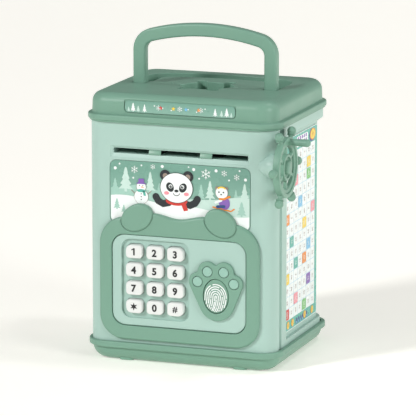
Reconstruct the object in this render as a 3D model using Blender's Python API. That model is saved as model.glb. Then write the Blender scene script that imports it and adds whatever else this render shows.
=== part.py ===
"""Toy cash-machine savings bank: casing, hinged door with keypad, folding handle, helm wheel and note feeder.

Sizes below are in millimetres; each mesh is scaled to metres as it is made. +X is the bank's right side as
one faces it, the door faces -Y, and Z = 0 is the flat underside of the base.
"""

import math

import bmesh
import bpy
from mathutils import Matrix, Vector

MM = 0.001
GAP = 0.3  # between pieces that touch

# Whole object
rim_w = 130.0  # outer width of the base and lid rims
rim_d = 112.0
rim_r = 15.0
shell_h = 141.5  # height of the two casing halves
wall = 2.4
base_rim_h = 13.0
base_floor = 4.4
lid_h = 18.1
lid_wall = 2.3
foot_w = 10.0
foot_d = 7.0
foot_h = 2.6

# Casing halves
front_inset = 2.8  # front wall behind the rims' front
side_inset = 2.9
front_corner_r = 10.0
front_depth = 11.2  # how far the front half wraps round the sides
tongue = 4.7  # bare edge of the rear half between the two halves
border = 9.5  # raised strip along the rear half's front edge
panel_sink = 2.1  # side panel below the strip
rear_inset = 4.0
rear_corner_r = 12.0
low_flange_h = 4.6
top_flange_h = 5.7
top_flange_out = 3.3
flange_slope = 2.7

# Door
door_side_in = 8.7  # frame's sides from the casing's sides
door_z0 = 15.0
door_h = 79.2
door_low_r = 16.0
door_top_r = 18.0
door_t = 2.5
ear_x = 27.8
ear_z = 94.3
ear_long = 11.0
ear_short = 8.3
ear_tilt = math.radians(28)
panel_w = 89.4
panel_h = 58.4
panel_z0 = 24.5
panel_r = 8.5
panel_proud = 2.0  # panel face in front of the casing's front wall
flange_t = 2.2  # panel flange behind the door frame
plug_left_gap = 4.8  # room for the hinge arms beside the plug
plug_right_gap = 1.0
plug_z0 = 21.0
plug_h = 65.5
plug_wall = 1.8
plug_deep = 11.8  # back of the door behind the casing's front wall
opening_left_in = 11.6  # sides of the casing's opening from the casing's sides
opening_right_in = 14.1
door_hinge_in = (4.3, 5.2)  # axis from the casing's inner left side and front
hinge_pin_r = 1.0
knuckle_r = 3.0
arm_r = 11.2
arm_w = 2.8
arm_t = 4.0
arm_low_z = 28.0
arm_high_z = 76.0

# Keys, paw plate and pad
key_w = 11.0
key_h = 8.8
key_r = 2.5
key_gap_x = 2.85  # between the caps of neighbouring keys
key_gap_z = 3.0
key_pitch_x = key_w + key_gap_x
key_pitch_z = key_h + key_gap_z
key_mid_x = -15.8
key_mid_z = 54.8
key_proud = 3.6  # key face in front of the keypad's sunk floor
key_travel = 1.2
keypad_edge = 3.3  # sunk floor past the outer keys
keypad_sink = 1.8
membrane_in = 1.6  # membrane's edge inside the sunk floor's
paw_x = 25.3
paw_t = 1.8
toe_r = 3.15
toe_spots = ((-12.2, 56.6), (-5.6, 63.3), (5.2, 63.5), (11.9, 56.5))
paw_lobe_r = 5.9
paw_heel = (0.4, 43.8, 11.7)
pad_mid_z = 47.9
pad_half_w = 8.3
pad_half_h = 10.85

# Front wall
slot_w = 89.5  # banknote slot
slot_h = 3.3
slot_z = 135.85
sticker_w = 93.2
sticker_top = 129.8
sticker_low = 89.6
sticker_t = 0.3
finger_x = 17.0
finger_w = 8.0
lid_label_w = 73.0
lid_label_h = 7.3
lid_label_up = 6.9  # above the lid's lower edge

# Hand wheel
wheel_z = 131.6
wheel_in = 3.0  # wheel axis behind the casing's front
wheel_gap = 4.2  # wheel's inner face from the casing's side
wheel_r = 19.0
wheel_rim_w = 5.5
wheel_t = 4.4
wheel_knob_r = 2.8
wheel_knob_at = 24.2
wheel_shaft_r = 1.5
crank_r = 2.4
crank_at = 15.8
crank_angle = math.radians(77)
crank_long = 12.8

# Handle
handle_hinge_y = -5.05
handle_drop = 3.8  # hinge below the lid's top
handle_half_w = 48.2
handle_band = 8.3
handle_t = 7.0
handle_rise = 43.6
handle_corner_r = 14.0
handle_crown_r = 144.0
handle_pin_r = 1.6
channel_gap = 0.5

# Coin recess
coin_mid_y = -2.0
coin_sink = 6.5
coin_lobe_at = 19.75
coin_lobe_r = 3.25
coin_body_r = 17.0
coin_slot_w = 3.6
coin_slot_long = 30.0

# Note feeder
feed_y_in = 17.2  # roller axis behind the casing's front
feed_roller_r = 7.0
feed_roller_w = 10.0
feed_roller_x = 20.0
feed_shaft_r = 1.6
pinch_roller_r = 4.0
pinch_roller_w = 52.0
chute_t = 2.5
chute_long = 30.0
cheek_t = 2.0

# Power
cell_r = 7.1
cell_long = 50.0
cell_pitch = 15.2
cell_mid_x = 27.0
cell_room = 2.0
hatch_t = 2.5
battery_box_wall = 1.8

# Boards and speaker on the rear wall
board_x0 = -8.0
board_x1 = 44.0
board_z0 = 92.0
board_z1 = 130.0
speaker_x = -32.0
speaker_z = 112.0
speaker_r = 14.5

# Lock
bolt_r = 2.0
catch_x = 44.0
lock_z = 57.0

# Fasteners
screw_r = 1.4
screw_head_r = 2.8
post_r = 3.5
post_top = 19.5

# Worked out from the sizes above
side_x = rim_w / 2 - side_inset
front_y = -(rim_d / 2 - front_inset)
rear_y = rim_d / 2 - rear_inset
panel_x = side_x - panel_sink
panel_y = rear_y - panel_sink
split_y = front_y + front_depth
strip_y = split_y + GAP + tongue
shell_z0 = base_rim_h - 0.9
shell_z1 = shell_z0 + shell_h
lid_z0 = shell_z1 + GAP
lid_top = lid_z0 + lid_h
door_x = side_x - door_side_in
opening_left = side_x - opening_left_in
opening_right = side_x - opening_right_in
plug_left = opening_left - plug_left_gap
plug_right = opening_right - plug_right_gap
hinge_x = -side_x + wall + door_hinge_in[0]
hinge_y = front_y + wall + door_hinge_in[1]
handle_z = lid_top - handle_drop
door_back_y = front_y - GAP
door_front_y = door_back_y - door_t
panel_front_y = front_y - panel_proud
panel_back_y = front_y + flange_t
key_front_y = panel_front_y + keypad_sink - key_proud
plug_back_y = front_y + plug_deep
feed_y = front_y + feed_y_in
feed_z = slot_z - 0.25 - feed_roller_r
pinch_z = slot_z + 0.05 + pinch_roller_r
wheel_y = front_y + wheel_in
wheel_x0 = side_x + wheel_gap
post_spots = tuple(
    (sx * x, y)
    for sx in (-1, 1)
    for x, y in ((side_x - 9.6, front_y + 8.7), (panel_x - 10.0, panel_y - 10.0))
)


# ---------------------------------------------------------------- outlines

def arc(cx, cy, r, start, end, steps):
    """Points on a circle, both ends included; angles in degrees."""
    turns = [math.radians(start + (end - start) * i / steps) for i in range(steps + 1)]
    return [(cx + r * math.cos(a), cy + r * math.sin(a)) for a in turns]


def circle(cx, cy, r, sides=20):
    return arc(cx, cy, r, 0, 360, sides)[:-1]


def rounded(x0, y0, x1, y1, r, steps=4):
    """A rectangle with round corners, anticlockwise."""
    return (
        arc(x1 - r, y1 - r, r, 0, 90, steps)
        + arc(x0 + r, y1 - r, r, 90, 180, steps)
        + arc(x0 + r, y0 + r, r, 180, 270, steps)
        + arc(x1 - r, y0 + r, r, 270, 360, steps)
    )


def rect(x0, y0, x1, y1):
    return [(x0, y0), (x1, y0), (x1, y1), (x0, y1)]


def rim_outline(inset, steps=4):
    """The plan of the base and lid, drawn in by inset."""
    x = rim_w / 2 - inset
    y = rim_d / 2 - inset
    return rounded(-x, -y, x, y, max(rim_r - inset, 3.0), steps)


def u_outline(x, y, r, inner_x, inner_y, inner_r, open_y, steps=4):
    """A U in plan, closed at y and open at open_y: outer line, then inner line back."""
    way = 1 if y > open_y else -1
    outer = arc(x - r, 0, r, 0, 90, steps)
    inner = arc(inner_x - inner_r, 0, inner_r, 0, 90, steps)
    right_out = [(px, y - way * (r - py)) for px, py in outer]
    right_in = [(px, inner_y - way * (inner_r - py)) for px, py in inner]
    half = [(x, open_y)] + right_out
    half_in = [(inner_x, open_y)] + right_in
    mirrored = [(-px, py) for px, py in reversed(half)]
    mirrored_in = [(-px, py) for px, py in half_in]
    return half + mirrored + mirrored_in + list(reversed(half_in))


def arch(offset, low, steps=5):
    """The handle's outer line, moved out by offset, from one leg's foot to the other's; (x, height)."""
    corner_x = handle_half_w - handle_corner_r
    crown_mid = handle_rise - handle_crown_r
    reach = handle_crown_r - handle_corner_r
    corner_z = crown_mid + math.sqrt(reach * reach - corner_x * corner_x)
    turn = math.degrees(math.atan2(corner_z - crown_mid, corner_x))
    right = arc(corner_x, corner_z, handle_corner_r + offset, 0, turn, steps)
    crown = arc(0, crown_mid, handle_crown_r + offset, turn, 90, 4)[1:]
    half = [(handle_half_w + offset, low)] + right + crown
    return half + [(-x, z) for x, z in reversed(half[:-1])]


def arch_band(outer, inner, low):
    """A closed U between two arches."""
    return arch(outer, low) + list(reversed(arch(inner, low)))


def lobed(mid_y, reach, lobe_r, body_r):
    """A round body with six round-ended arms."""
    points = []
    half = math.degrees(math.asin(lobe_r / body_r))
    for i in range(6):
        a = 60 * i
        turn = math.radians(a)
        tip = (reach * math.cos(turn), reach * math.sin(turn))
        points += arc(tip[0], tip[1], lobe_r, a - 90, a + 90, 4)
        points += arc(0, 0, body_r, a + half, a + 60 - half, 2)
    return [(x, y + mid_y) for x, y in points]


def capsule_hull(circles, steps=5):
    """Outline round a set of circles (cx, cy, r), as their convex hull."""
    points = sorted(p for cx, cy, r in circles for p in circle(cx, cy, r, 4 * steps))

    def turns_right(a, b, c):
        return (b[0] - a[0]) * (c[1] - a[1]) - (b[1] - a[1]) * (c[0] - a[0]) <= 1e-9

    hull = []
    for run in (points, list(reversed(points))):
        side = []
        for point in run:
            while len(side) > 1 and turns_right(side[-2], side[-1], point):
                side.pop()
            side.append(point)
        hull += side[:-1]
    return hull


# ---------------------------------------------------------------- solids

axis_place = {
    "X": lambda u, v, h: (h, u, v),
    "Y": lambda u, v, h: (u, h, v),
    "Z": lambda u, v, h: (u, v, h),
}


def stack(name, axis, sections):
    """A solid through outlines of equal length, given as (height along axis, outline)."""
    place = axis_place[axis]
    bm = bmesh.new()
    rings = []
    for height, outline in sections:
        rings.append([bm.verts.new(Vector(place(u, v, height)) * MM) for u, v in outline])
    bm.faces.new(rings[0])
    bm.faces.new(rings[-1])
    count = len(rings[0])
    for low, high in zip(rings, rings[1:]):
        for i in range(count):
            j = (i + 1) % count
            bm.faces.new((low[i], low[j], high[j], high[i]))
    return finish(name, bm)


def finish(name, bm):
    bmesh.ops.recalc_face_normals(bm, faces=bm.faces)
    mesh = bpy.data.meshes.new(name)
    bm.to_mesh(mesh)
    bm.free()
    mesh.shade_smooth()
    mesh.set_sharp_from_angle(angle=math.radians(30))
    obj = bpy.data.objects.new(name, mesh)
    bpy.context.scene.collection.objects.link(obj)
    return obj


def plate(name, axis, outline, low, high):
    return stack(name, axis, [(low, outline), (high, outline)])


def box(name, x0, x1, y0, y1, z0, z1):
    return plate(name, "Z", rect(x0, y0, x1, y1), z0, z1)


def rod(name, axis, u, v, r, low, high, sides=14):
    return plate(name, axis, circle(u, v, r, sides), low, high)


def turned(name, axis, u, v, profile, sides=16):
    """A turned piece on an axis through (u, v); profile is (place along the axis, radius)."""
    return stack(name, axis, [(h, circle(u, v, r, sides)) for h, r in profile])


def helper(obj):
    """A cutter or an added lump: out of the render, drawn as wire."""
    obj.hide_render = True
    obj.display_type = "WIRE"
    return obj


def combine(target, tool, operation):
    modifier = target.modifiers.new(tool.name, "BOOLEAN")
    modifier.operation = operation
    modifier.solver = "EXACT"
    modifier.object = helper(tool)
    return target


def cut(target, *tools):
    for tool in tools:
        combine(target, tool, "DIFFERENCE")
    return target


def add(target, *tools):
    for tool in tools:
        combine(target, tool, "UNION")
    return target


def joined(name, pieces):
    """Separate lumps as one helper object, so that a pattern is a single cut."""
    bm = bmesh.new()
    for piece in pieces:
        bm.from_mesh(piece.data)
        mesh = piece.data
        bpy.data.objects.remove(piece)
        bpy.data.meshes.remove(mesh)
    return finish(name, bm)


def set_origin(obj, x, y, z):
    """Moves the object's origin, not its shape."""
    spot = Vector((x, y, z)) * MM
    obj.data.transform(Matrix.Translation(-spot))
    obj.location = spot
    return obj


def axis_empty(name, x, y, z):
    empty = bpy.data.objects.new(name, None)
    empty.empty_display_size = 10 * MM
    empty.location = Vector((x, y, z)) * MM
    bpy.context.scene.collection.objects.link(empty)
    bpy.context.view_layer.update()
    return empty


def hang(obj, empty):
    """Parents a piece to an empty on its joint's axis, leaving it where it is."""
    obj.parent = empty
    obj.matrix_parent_inverse = empty.matrix_world.inverted()
    return obj


# ---------------------------------------------------------------- materials

finishes = {
    "dark_green": ((0.20, 0.40, 0.29), 0.38, 0.0),
    "light_green": ((0.49, 0.68, 0.60), 0.4, 0.0),
    "key_white": ((0.86, 0.87, 0.85), 0.35, 0.0),
    "printed_film": ((0.80, 0.88, 0.85), 0.3, 0.0),
    "rubber": ((0.05, 0.05, 0.05), 0.8, 0.0),
    "steel": ((0.60, 0.60, 0.61), 0.3, 1.0),
    "circuit_board": ((0.03, 0.22, 0.10), 0.5, 0.0),
    "black_plastic": ((0.03, 0.03, 0.035), 0.5, 0.0),
    "cell_wrap": ((0.08, 0.10, 0.12), 0.35, 0.3),
}


def make_materials():
    made = {}
    for name, (colour, roughness, metallic) in finishes.items():
        material = bpy.data.materials.new(name)
        material.use_nodes = True
        shader = material.node_tree.nodes["Principled BSDF"]
        shader.inputs["Base Color"].default_value = (*colour, 1.0)
        shader.inputs["Roughness"].default_value = roughness
        shader.inputs["Metallic"].default_value = metallic
        made[name] = material
    return made


def paint(obj, finish_name):
    """Gives a sub-part its own copy of a finish."""
    material = materials[finish_name].copy()
    material.name = obj.name
    obj.data.materials.append(material)
    return obj


# ---------------------------------------------------------------- base

def base_sections():
    """(height, inset) up the outside of the tray."""
    rim_low = base_rim_h - 4.2
    return (
        (0.0, 11.4),
        (0.9, 7.6),
        (2.9, 4.7),
        (5.6, 3.1),
        (rim_low, 2.4),
        (rim_low + 0.4, 0.2),
        (rim_low + 0.8, 0.0),
        (base_rim_h - 0.5, 0.0),
        (base_rim_h, 0.5),
    )


def hatch_outline(slack):
    half_x = cell_pitch * 1.5 + slack
    half_y = cell_long / 2 + cell_room + slack
    return rect(cell_mid_x - half_x, -half_y, cell_mid_x + half_x, half_y)


def hatch_tab(slack):
    half_y = cell_long / 2 + cell_room
    return rect(cell_mid_x - 11 - slack, half_y - 3, cell_mid_x + 11 + slack, half_y + 8.5 + slack)


def make_base():
    tray = stack("base_tray", "Z", [(z, rim_outline(d)) for z, d in base_sections()])
    inside = side_inset + wall + 0.1
    hollow = [(base_floor, inside + 0.9), (base_floor + 1.2, inside), (base_rim_h + 1, inside)]
    cut(tray, stack("tray_hollow", "Z", [(z, rim_outline(d)) for z, d in hollow]))
    reach = side_x + GAP
    ledge = rounded(-reach, front_y - GAP, reach, rear_y + GAP, front_corner_r + GAP)
    cut(tray, plate("tray_ledge", "Z", ledge, shell_z0 - GAP, base_rim_h + 1))
    half_x = cell_pitch * 1.5 + GAP
    half_y = cell_long / 2 + cell_room
    wide = half_x + battery_box_wall
    deep = half_y + battery_box_wall
    walls = rect(cell_mid_x - wide, -deep, cell_mid_x + wide, deep)
    boss_y = half_y + 4.4
    add(tray, plate("battery_box", "Z", walls, base_floor - 1, post_top))
    add(tray, rod("hatch_boss", "Z", cell_mid_x, boss_y, 4.0, base_floor - 1, base_floor + 6))
    cut(tray, plate("battery_room", "Z", hatch_outline(GAP), -1, post_top + 1))
    cut(tray, plate("hatch_tab_room", "Z", hatch_tab(GAP), -1, hatch_t + GAP))
    cut(tray, rod("hatch_screw_hole", "Z", cell_mid_x, boss_y, screw_r + GAP, 1, base_floor + 4))
    feet = [(sx * (side_x - 24), sy * (rim_d / 2 - 9.5)) for sx in (-1, 1) for sy in (-1, 1)]
    pockets = []
    bores = []
    foot_x = foot_w / 2
    foot_y = foot_d / 2
    for i, (x, y) in enumerate(feet):
        wide = foot_x + GAP
        deep = foot_y + GAP
        outline = rounded(x - wide, y - deep, x + wide, y + deep, 3.0, 3)
        pockets.append(plate(f"pocket_{i}", "Z", outline, -1, foot_h + GAP))
    for i, (x, y) in enumerate(post_spots):
        bores.append(
            turned(
                f"bore_{i}",
                "Z",
                x,
                y,
                (
                    (-1, screw_head_r + GAP),
                    (2.3, screw_head_r + GAP),
                    (2.3, screw_r + GAP),
                    (base_floor + 3, screw_r + GAP),
                ),
            )
        )
    cut(tray, joined("foot_pockets", pockets))
    cut(tray, joined("screw_bores", bores))
    paint(tray, "dark_green")
    for x, y in feet:
        place = f"{'front' if y < 0 else 'rear'}_{'left' if x < 0 else 'right'}"
        edge = 0.6
        low = rounded(x - foot_x + edge, y - foot_y + edge, x + foot_x - edge, y + foot_y - edge, 2.4, 3)
        full = rounded(x - foot_x, y - foot_y, x + foot_x, y + foot_y, 2.9, 3)
        paint(stack(f"foot_{place}", "Z", [(0, low), (edge, full), (foot_h, full)]), "dark_green")
    return boss_y


def make_power(boss_y):
    hatch = plate("battery_door", "Z", hatch_outline(0), 0, hatch_t)
    add(hatch, plate("hatch_tab", "Z", hatch_tab(0), 0, hatch_t))
    cut(
        hatch,
        turned(
            "hatch_screw_way",
            "Z",
            cell_mid_x,
            boss_y,
            (
                (-1, 2.4 + GAP),
                (1.2, 2.4 + GAP),
                (1.2, screw_r + GAP),
                (hatch_t + 1, screw_r + GAP),
            ),
        ),
    )
    paint(hatch, "dark_green")
    screw = ((0.3, 2.4), (0.9, 2.4), (0.9, screw_r), (base_floor + 3, screw_r))
    paint(turned("battery_door_screw", "Z", cell_mid_x, boss_y, screw, 12), "steel")
    for i in range(3):
        x = cell_mid_x + (i - 1) * cell_pitch
        z = hatch_t + GAP + cell_r
        half = cell_long / 2
        ends = (
            (-half, cell_r - 1.2),
            (-half + 0.6, cell_r),
            (half - 2, cell_r),
            (half - 2, 2.8),
            (half, 2.8),
        )
        cell = turned(f"battery_cell_{i + 1}", "Y", x, z, ends, 16)
        paint(cell, "cell_wrap")
    for i, (x, y) in enumerate(post_spots):
        shape = ((0.7, screw_head_r), (2.0, screw_head_r), (2.0, screw_r), (14.0, screw_r))
        paint(turned(f"base_screw_{i + 1}", "Z", x, y, shape, 12), "steel")
    reach = panel_x - wall - GAP
    rear = panel_y - wall - GAP
    front = plug_back_y + 1.0
    outline = [(-reach, front), (reach, front)] + [
        *arc(reach - 9, rear - 9, 9, 0, 90, 3),
        *arc(-reach + 9, rear - 9, 9, 90, 180, 3),
    ]
    floor = plate("compartment_floor", "Z", outline, post_top + GAP, post_top + GAP + 2)
    paint(floor, "light_green")


# ---------------------------------------------------------------- casing

def posts(name, spots, wall_x):
    """Screw posts with a rib each to the side wall."""
    made = []
    for i, (x, y) in enumerate(spots):
        reach = wall_x if x > 0 else -wall_x
        outline = circle(x, y, post_r, 16)
        made.append(plate(f"{name}_{i}", "Z", outline, base_floor + GAP, post_top))
        rib = box(f"{name}_rib_{i}", min(x, reach), max(x, reach), y - 0.9, y + 0.9, shell_z0 + 0.4, 18.0)
        made.append(rib)
    return made


def post_bores(name, spots):
    made = []
    for i, (x, y) in enumerate(spots):
        made.append(rod(f"{name}_{i}", "Z", x, y, screw_r + GAP, 1, 14.6, 12))
    return joined(name, made)


def make_front_shell():
    outline = u_outline(
        side_x,
        front_y,
        front_corner_r,
        side_x - wall,
        front_y + wall,
        front_corner_r - wall,
        split_y,
    )
    shell = plate("front_shell", "Z", outline, shell_z0, shell_z1)
    lugs = []
    for z in lug_places:
        lugs.append(rod(f"lug_{z}", "Z", hinge_x, hinge_y, knuckle_r + 0.9, z, z + lug_t))
    add(shell, joined("hinge_lugs", lugs))
    spots = [spot for spot in post_spots if spot[1] < 0]
    for tool in posts("front_post", spots, side_x - wall / 2):
        add(shell, tool)
    boss = (
        (side_x - 11.0, 3.0),
        (side_x - 6.2, 5.6),
        (side_x - 3.5, 7.3),
        (side_x + 0.9, 7.0),
        (side_x + 2.9, 5.6),
    )
    add(shell, turned("wheel_boss", "X", wheel_y, wheel_z, boss, 24))
    block_x = side_x - 13
    add(
        shell,
        box(
            "shaft_block",
            block_x,
            side_x - 4,
            front_y + wall / 2,
            front_y + 7.2,
            wheel_z - 4.5,
            wheel_z + 4.5,
        ),
    )
    bore_r = wheel_shaft_r + GAP
    cut(shell, rod("shaft_bore", "X", wheel_y, wheel_z, bore_r, block_x + 1.5, side_x + 8, 12))
    door_hole = rounded(
        -opening_left,
        plug_z0 - 1,
        opening_right,
        plug_z0 + plug_h + 1,
        5.0,
    )
    cut(shell, plate("door_opening", "Y", door_hole, front_y - 2, front_y + wall + 2))
    slot = rect(-slot_w / 2, slot_z - slot_h / 2, slot_w / 2, slot_z + slot_h / 2)
    cut(shell, plate("note_slot", "Y", slot, front_y - 2, front_y + wall + 2))
    lead = rect(-slot_w / 2 - 1.8, slot_z - 4.3, slot_w / 2 + 1.8, slot_z + 3.2)
    narrow = rect(-slot_w / 2 - 0.1, slot_z - 1.8, slot_w / 2 + 0.1, slot_z + 1.8)
    bevel = [(front_y - 1, lead), (front_y, lead), (front_y + 1.3, narrow)]
    cut(shell, stack("slot_lead_in", "Y", bevel))
    half = sticker_w / 2 + GAP
    sunk = rounded(-half, sticker_low - GAP, half, sticker_top + GAP, 4.5)
    cut(shell, plate("sticker_sink", "Y", sunk, front_y - 1, front_y + 0.7))
    cut(shell, post_bores("front_post_bores", spots))
    pin_way = rod("pin_way", "Z", hinge_x, hinge_y, hinge_pin_r + GAP, lug_places[0] - 1, pin_top + 1, 12)
    cut(shell, pin_way)
    paint(shell, "light_green")


def make_rear_shell():
    inner = (panel_x - wall, panel_y - wall, rear_corner_r - wall)
    outline = u_outline(panel_x, panel_y, rear_corner_r, *inner, split_y + GAP)
    shell = plate("rear_shell", "Z", outline, shell_z0, shell_z1)
    strips = []
    for sx in (-1, 1):
        xs = sorted((sx * (panel_x - 1), sx * side_x))
        strips.append(
            box(f"strip_{sx}", xs[0], xs[1], strip_y, strip_y + border, shell_z0, shell_z1)
        )
    add(shell, joined("front_strips", strips))
    mid_wall = (panel_x - wall / 2, panel_y - wall / 2, rear_corner_r - wall / 2)

    def flange(out):
        grown = out + panel_sink
        return u_outline(
            panel_x + grown, panel_y + grown, rear_corner_r + grown / 2, *mid_wall, strip_y + 0.1
        )

    low = plate("low_flange", "Z", flange(0), shell_z0, shell_z0 + low_flange_h)
    top_z = shell_z1 - top_flange_h
    out = top_flange_out - panel_sink
    top = stack(
        "top_flange",
        "Z",
        [
            (top_z - flange_slope, flange(-panel_sink - 0.2)),
            (top_z, flange(out)),
            (shell_z1, flange(out)),
        ],
    )
    add(shell, low, top)
    spots = [spot for spot in post_spots if spot[1] > 0]
    for tool in posts("rear_post", spots, panel_x - wall / 2):
        add(shell, tool)
    cut(shell, post_bores("rear_post_bores", spots))
    grille = []
    for i in range(7):
        a = math.radians(60 * i)
        reach = 0 if i == 6 else 6.0
        x = speaker_x + reach * math.cos(a)
        z = speaker_z + reach * math.sin(a)
        grille.append(rod(f"grille_{i}", "Y", x, z, 1.5, panel_y - wall - 1, panel_y + 2, 10))
    cut(shell, joined("speaker_grille", grille))
    paint(shell, "light_green")


def make_films():
    half = sticker_w / 2
    outline = rounded(-half, sticker_low, half, sticker_top, 4.2)
    low = front_y + 0.7 - GAP - sticker_t
    paint(plate("front_sticker", "Y", outline, low, low + sticker_t), "printed_film")
    y0 = strip_y + border + 1.0
    y1 = panel_y - rear_corner_r
    z0 = shell_z0 + low_flange_h + 3.3
    z1 = shell_z1 - top_flange_h - flange_slope - 1.2
    for side, sx in (("right", 1), ("left", -1)):
        xs = sorted((sx * (panel_x + GAP), sx * (panel_x + GAP + sticker_t)))
        film = plate(f"side_label_{side}", "X", rounded(y0, z0, y1, z1, 1.5, 2), xs[0], xs[1])
        paint(film, "printed_film")


# ---------------------------------------------------------------- lid and handle

def channel_plan(outer, inner, low):
    """The handle's folded band in plan."""
    return [(x, handle_hinge_y + s) for x, s in arch_band(outer, inner, low)]


def make_lid():
    z = lid_z0
    top = lid_top
    outside = (
        (z, 1.0),
        (z + 1.1, 1.0),
        (z + 1.7, 0.0),
        (z + 4.1, 0.0),
        (z + 4.9, 0.9),
        (z + 5.3, 2.7),
        (z + 11.6, 3.0),
        (z + 14.6, 3.9),
        (top - 1.5, 5.4),
        (top - 0.4, 7.4),
        (top, 9.6),
    )
    lid = stack("lid_cover", "Z", [(h, rim_outline(d)) for h, d in outside])
    inset = side_inset + wall
    under = (
        (z - 2, inset),
        (z + 11.6, inset + 0.2),
        (top - lid_wall - 1.7, inset + 1.6),
        (top - lid_wall, 10.4),
    )
    hollow = stack("lid_hollow", "Z", [(h, rim_outline(d)) for h, d in under])
    side = channel_gap + lid_wall
    floor_z = handle_z - handle_t / 2 - 0.45
    keep = channel_plan(side, -handle_band - side, -handle_t / 2 - 0.75 - lid_wall)
    cut(hollow, plate("channel_keep", "Z", keep, floor_z - lid_wall, top))
    coin_z = top - coin_sink
    keep_r = coin_lobe_at + coin_lobe_r + lid_wall
    cut(hollow, rod("coin_keep", "Z", 0, coin_mid_y, keep_r, coin_z - lid_wall, top, 24))
    cut(lid, hollow)
    low = -handle_t / 2 - 0.75
    channel = channel_plan(channel_gap, -handle_band - channel_gap, low)
    cut(lid, plate("handle_channel", "Z", channel, floor_z, top + 3))
    island = [(x, handle_hinge_y + s) for x, s in arch(-handle_band - channel_gap + 0.3, 4.0)]
    cut(lid, plate("island_sink", "Z", island, top - 1.0, top + 3))
    lobes = lobed(coin_mid_y, coin_lobe_at, coin_lobe_r, coin_body_r)
    cut(lid, plate("coin_recess", "Z", lobes, coin_z, top + 3))
    half = coin_slot_long / 2
    slot = rect(-coin_slot_w / 2, coin_mid_y - half, coin_slot_w / 2, coin_mid_y + half)
    cut(lid, plate("coin_slot", "Z", slot, coin_z - lid_wall - 1, coin_z + 1))
    y = front_y + 1.0
    label_x = lid_label_w / 2
    label_z = z + lid_label_up
    sunk = rounded(-label_x - 0.5, label_z - 0.5, label_x + 0.5, label_z + lid_label_h + 2.7, 3.0)
    cut(lid, plate("label_sink", "Y", sunk, y - 8, y))
    bores = []
    for sx in (-1, 1):
        xs = sorted((sx * (pin_in - 1.5), sx * (pin_out + 1.0)))
        bore = rod(f"pin_bore_{sx}", "X", handle_hinge_y, handle_z, handle_pin_r + GAP, *xs, 14)
        bores.append(bore)
    cut(lid, joined("handle_pin_bores", bores))
    paint(lid, "dark_green")
    label = rounded(-label_x, label_z, label_x, label_z + lid_label_h, 2.5)
    paint(plate("lid_label", "Y", label, y - GAP - 0.4, y - GAP), "printed_film")


def make_handle():
    half_t = handle_t / 2
    outline = [(x, handle_z + s) for x, s in arch_band(0, -handle_band, 0)]
    near = handle_hinge_y - half_t
    far = handle_hinge_y + half_t
    handle = plate("carry_handle", "Y", outline, near, far)
    for sx in (-1, 1):
        xs = sorted((sx * (handle_half_w - handle_band), sx * handle_half_w))
        add(handle, rod(f"handle_eye_{sx}", "X", handle_hinge_y, handle_z, half_t, *xs, 20))
    holes = []
    for side, sx in (("left", -1), ("right", 1)):
        xs = sorted((sx * (handle_half_w - handle_band - 2), sx * (handle_half_w + 2)))
        hole = rod(f"eye_{sx}", "X", handle_hinge_y, handle_z, handle_pin_r + GAP, *xs, 14)
        holes.append(hole)
        xs = sorted((sx * pin_in, sx * pin_out))
        pin = rod(f"handle_pin_{side}", "X", handle_hinge_y, handle_z, handle_pin_r, *xs, 14)
        paint(pin, "steel")
    cut(handle, joined("handle_eyes", holes))
    set_origin(handle, 0, handle_hinge_y, handle_z)
    paint(handle, "dark_green")


# ---------------------------------------------------------------- hand wheel

def make_wheel():
    x0 = wheel_x0
    inner = wheel_r - wheel_rim_w
    wheel = rod("helm_wheel", "X", wheel_y, wheel_z, wheel_r, x0, x0 + wheel_t, 30)
    cut(wheel, rod("wheel_hollow", "X", wheel_y, wheel_z, inner, x0 - 1, x0 + wheel_t + 1, 30))
    reach = inner + 1
    for i in range(3):
        turn = Matrix.Rotation(math.radians(60 * i + 30), 4, "X")
        spoke = box(f"spoke_{i}", x0 + 0.8, x0 + 3.2, -reach, reach, -1.4, 1.4)
        shift = Matrix.Translation(Vector((0, wheel_y, wheel_z)) * MM)
        spoke.data.transform(shift @ turn)
        add(wheel, spoke)
    hub = ((x0, 8.4), (x0 + 3.4, 8.4), (x0 + 3.4, 4.6), (x0 + 5.0, 4.0), (x0 + 5.6, 2.2))
    add(wheel, turned("wheel_hub", "X", wheel_y, wheel_z, hub, 18))
    mid = x0 + wheel_t / 2
    neck = wheel_r - 1.0
    ball = wheel_knob_at
    r = wheel_knob_r
    shape = [(neck, 1.7), (ball - 3.0, 1.7), (ball - 2.9, 2.5), (ball - 2.0, 2.5)]
    shape += [(ball + r * math.sin(a), r * math.cos(a)) for a in map(math.radians, (-35, 5, 45, 75))]
    for i in range(6):
        knob = turned(f"knob_{i}", "Z", 0, 0, shape, 8)
        turn = Matrix.Rotation(math.radians(60 * i - 90), 4, "X")
        knob.data.transform(Matrix.Translation(Vector((mid, wheel_y, wheel_z)) * MM) @ turn)
        add(wheel, knob)
    y = wheel_y + crank_at * math.cos(crank_angle)
    z = wheel_z + crank_at * math.sin(crank_angle)
    tip = x0 + wheel_t + crank_long
    crank = ((x0 + 1.5, 2.2), (x0 + wheel_t, 2.2), (tip - 1.2, crank_r), (tip - 0.3, 1.7), (tip, 0.8))
    add(wheel, turned("crank_pin", "X", y, z, crank, 12))
    shaft_end = x0 + 3.0
    hole = rod("hub_bore", "X", wheel_y, wheel_z, wheel_shaft_r + GAP, x0 - 1, shaft_end + GAP, 12)
    cut(wheel, hole)
    set_origin(wheel, mid, wheel_y, wheel_z)
    paint(wheel, "dark_green")
    shaft = rod("wheel_shaft", "X", wheel_y, wheel_z, wheel_shaft_r, side_x - 11, shaft_end, 12)
    set_origin(shaft, mid, wheel_y, wheel_z)
    paint(shaft, "steel")


# ---------------------------------------------------------------- door

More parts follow.
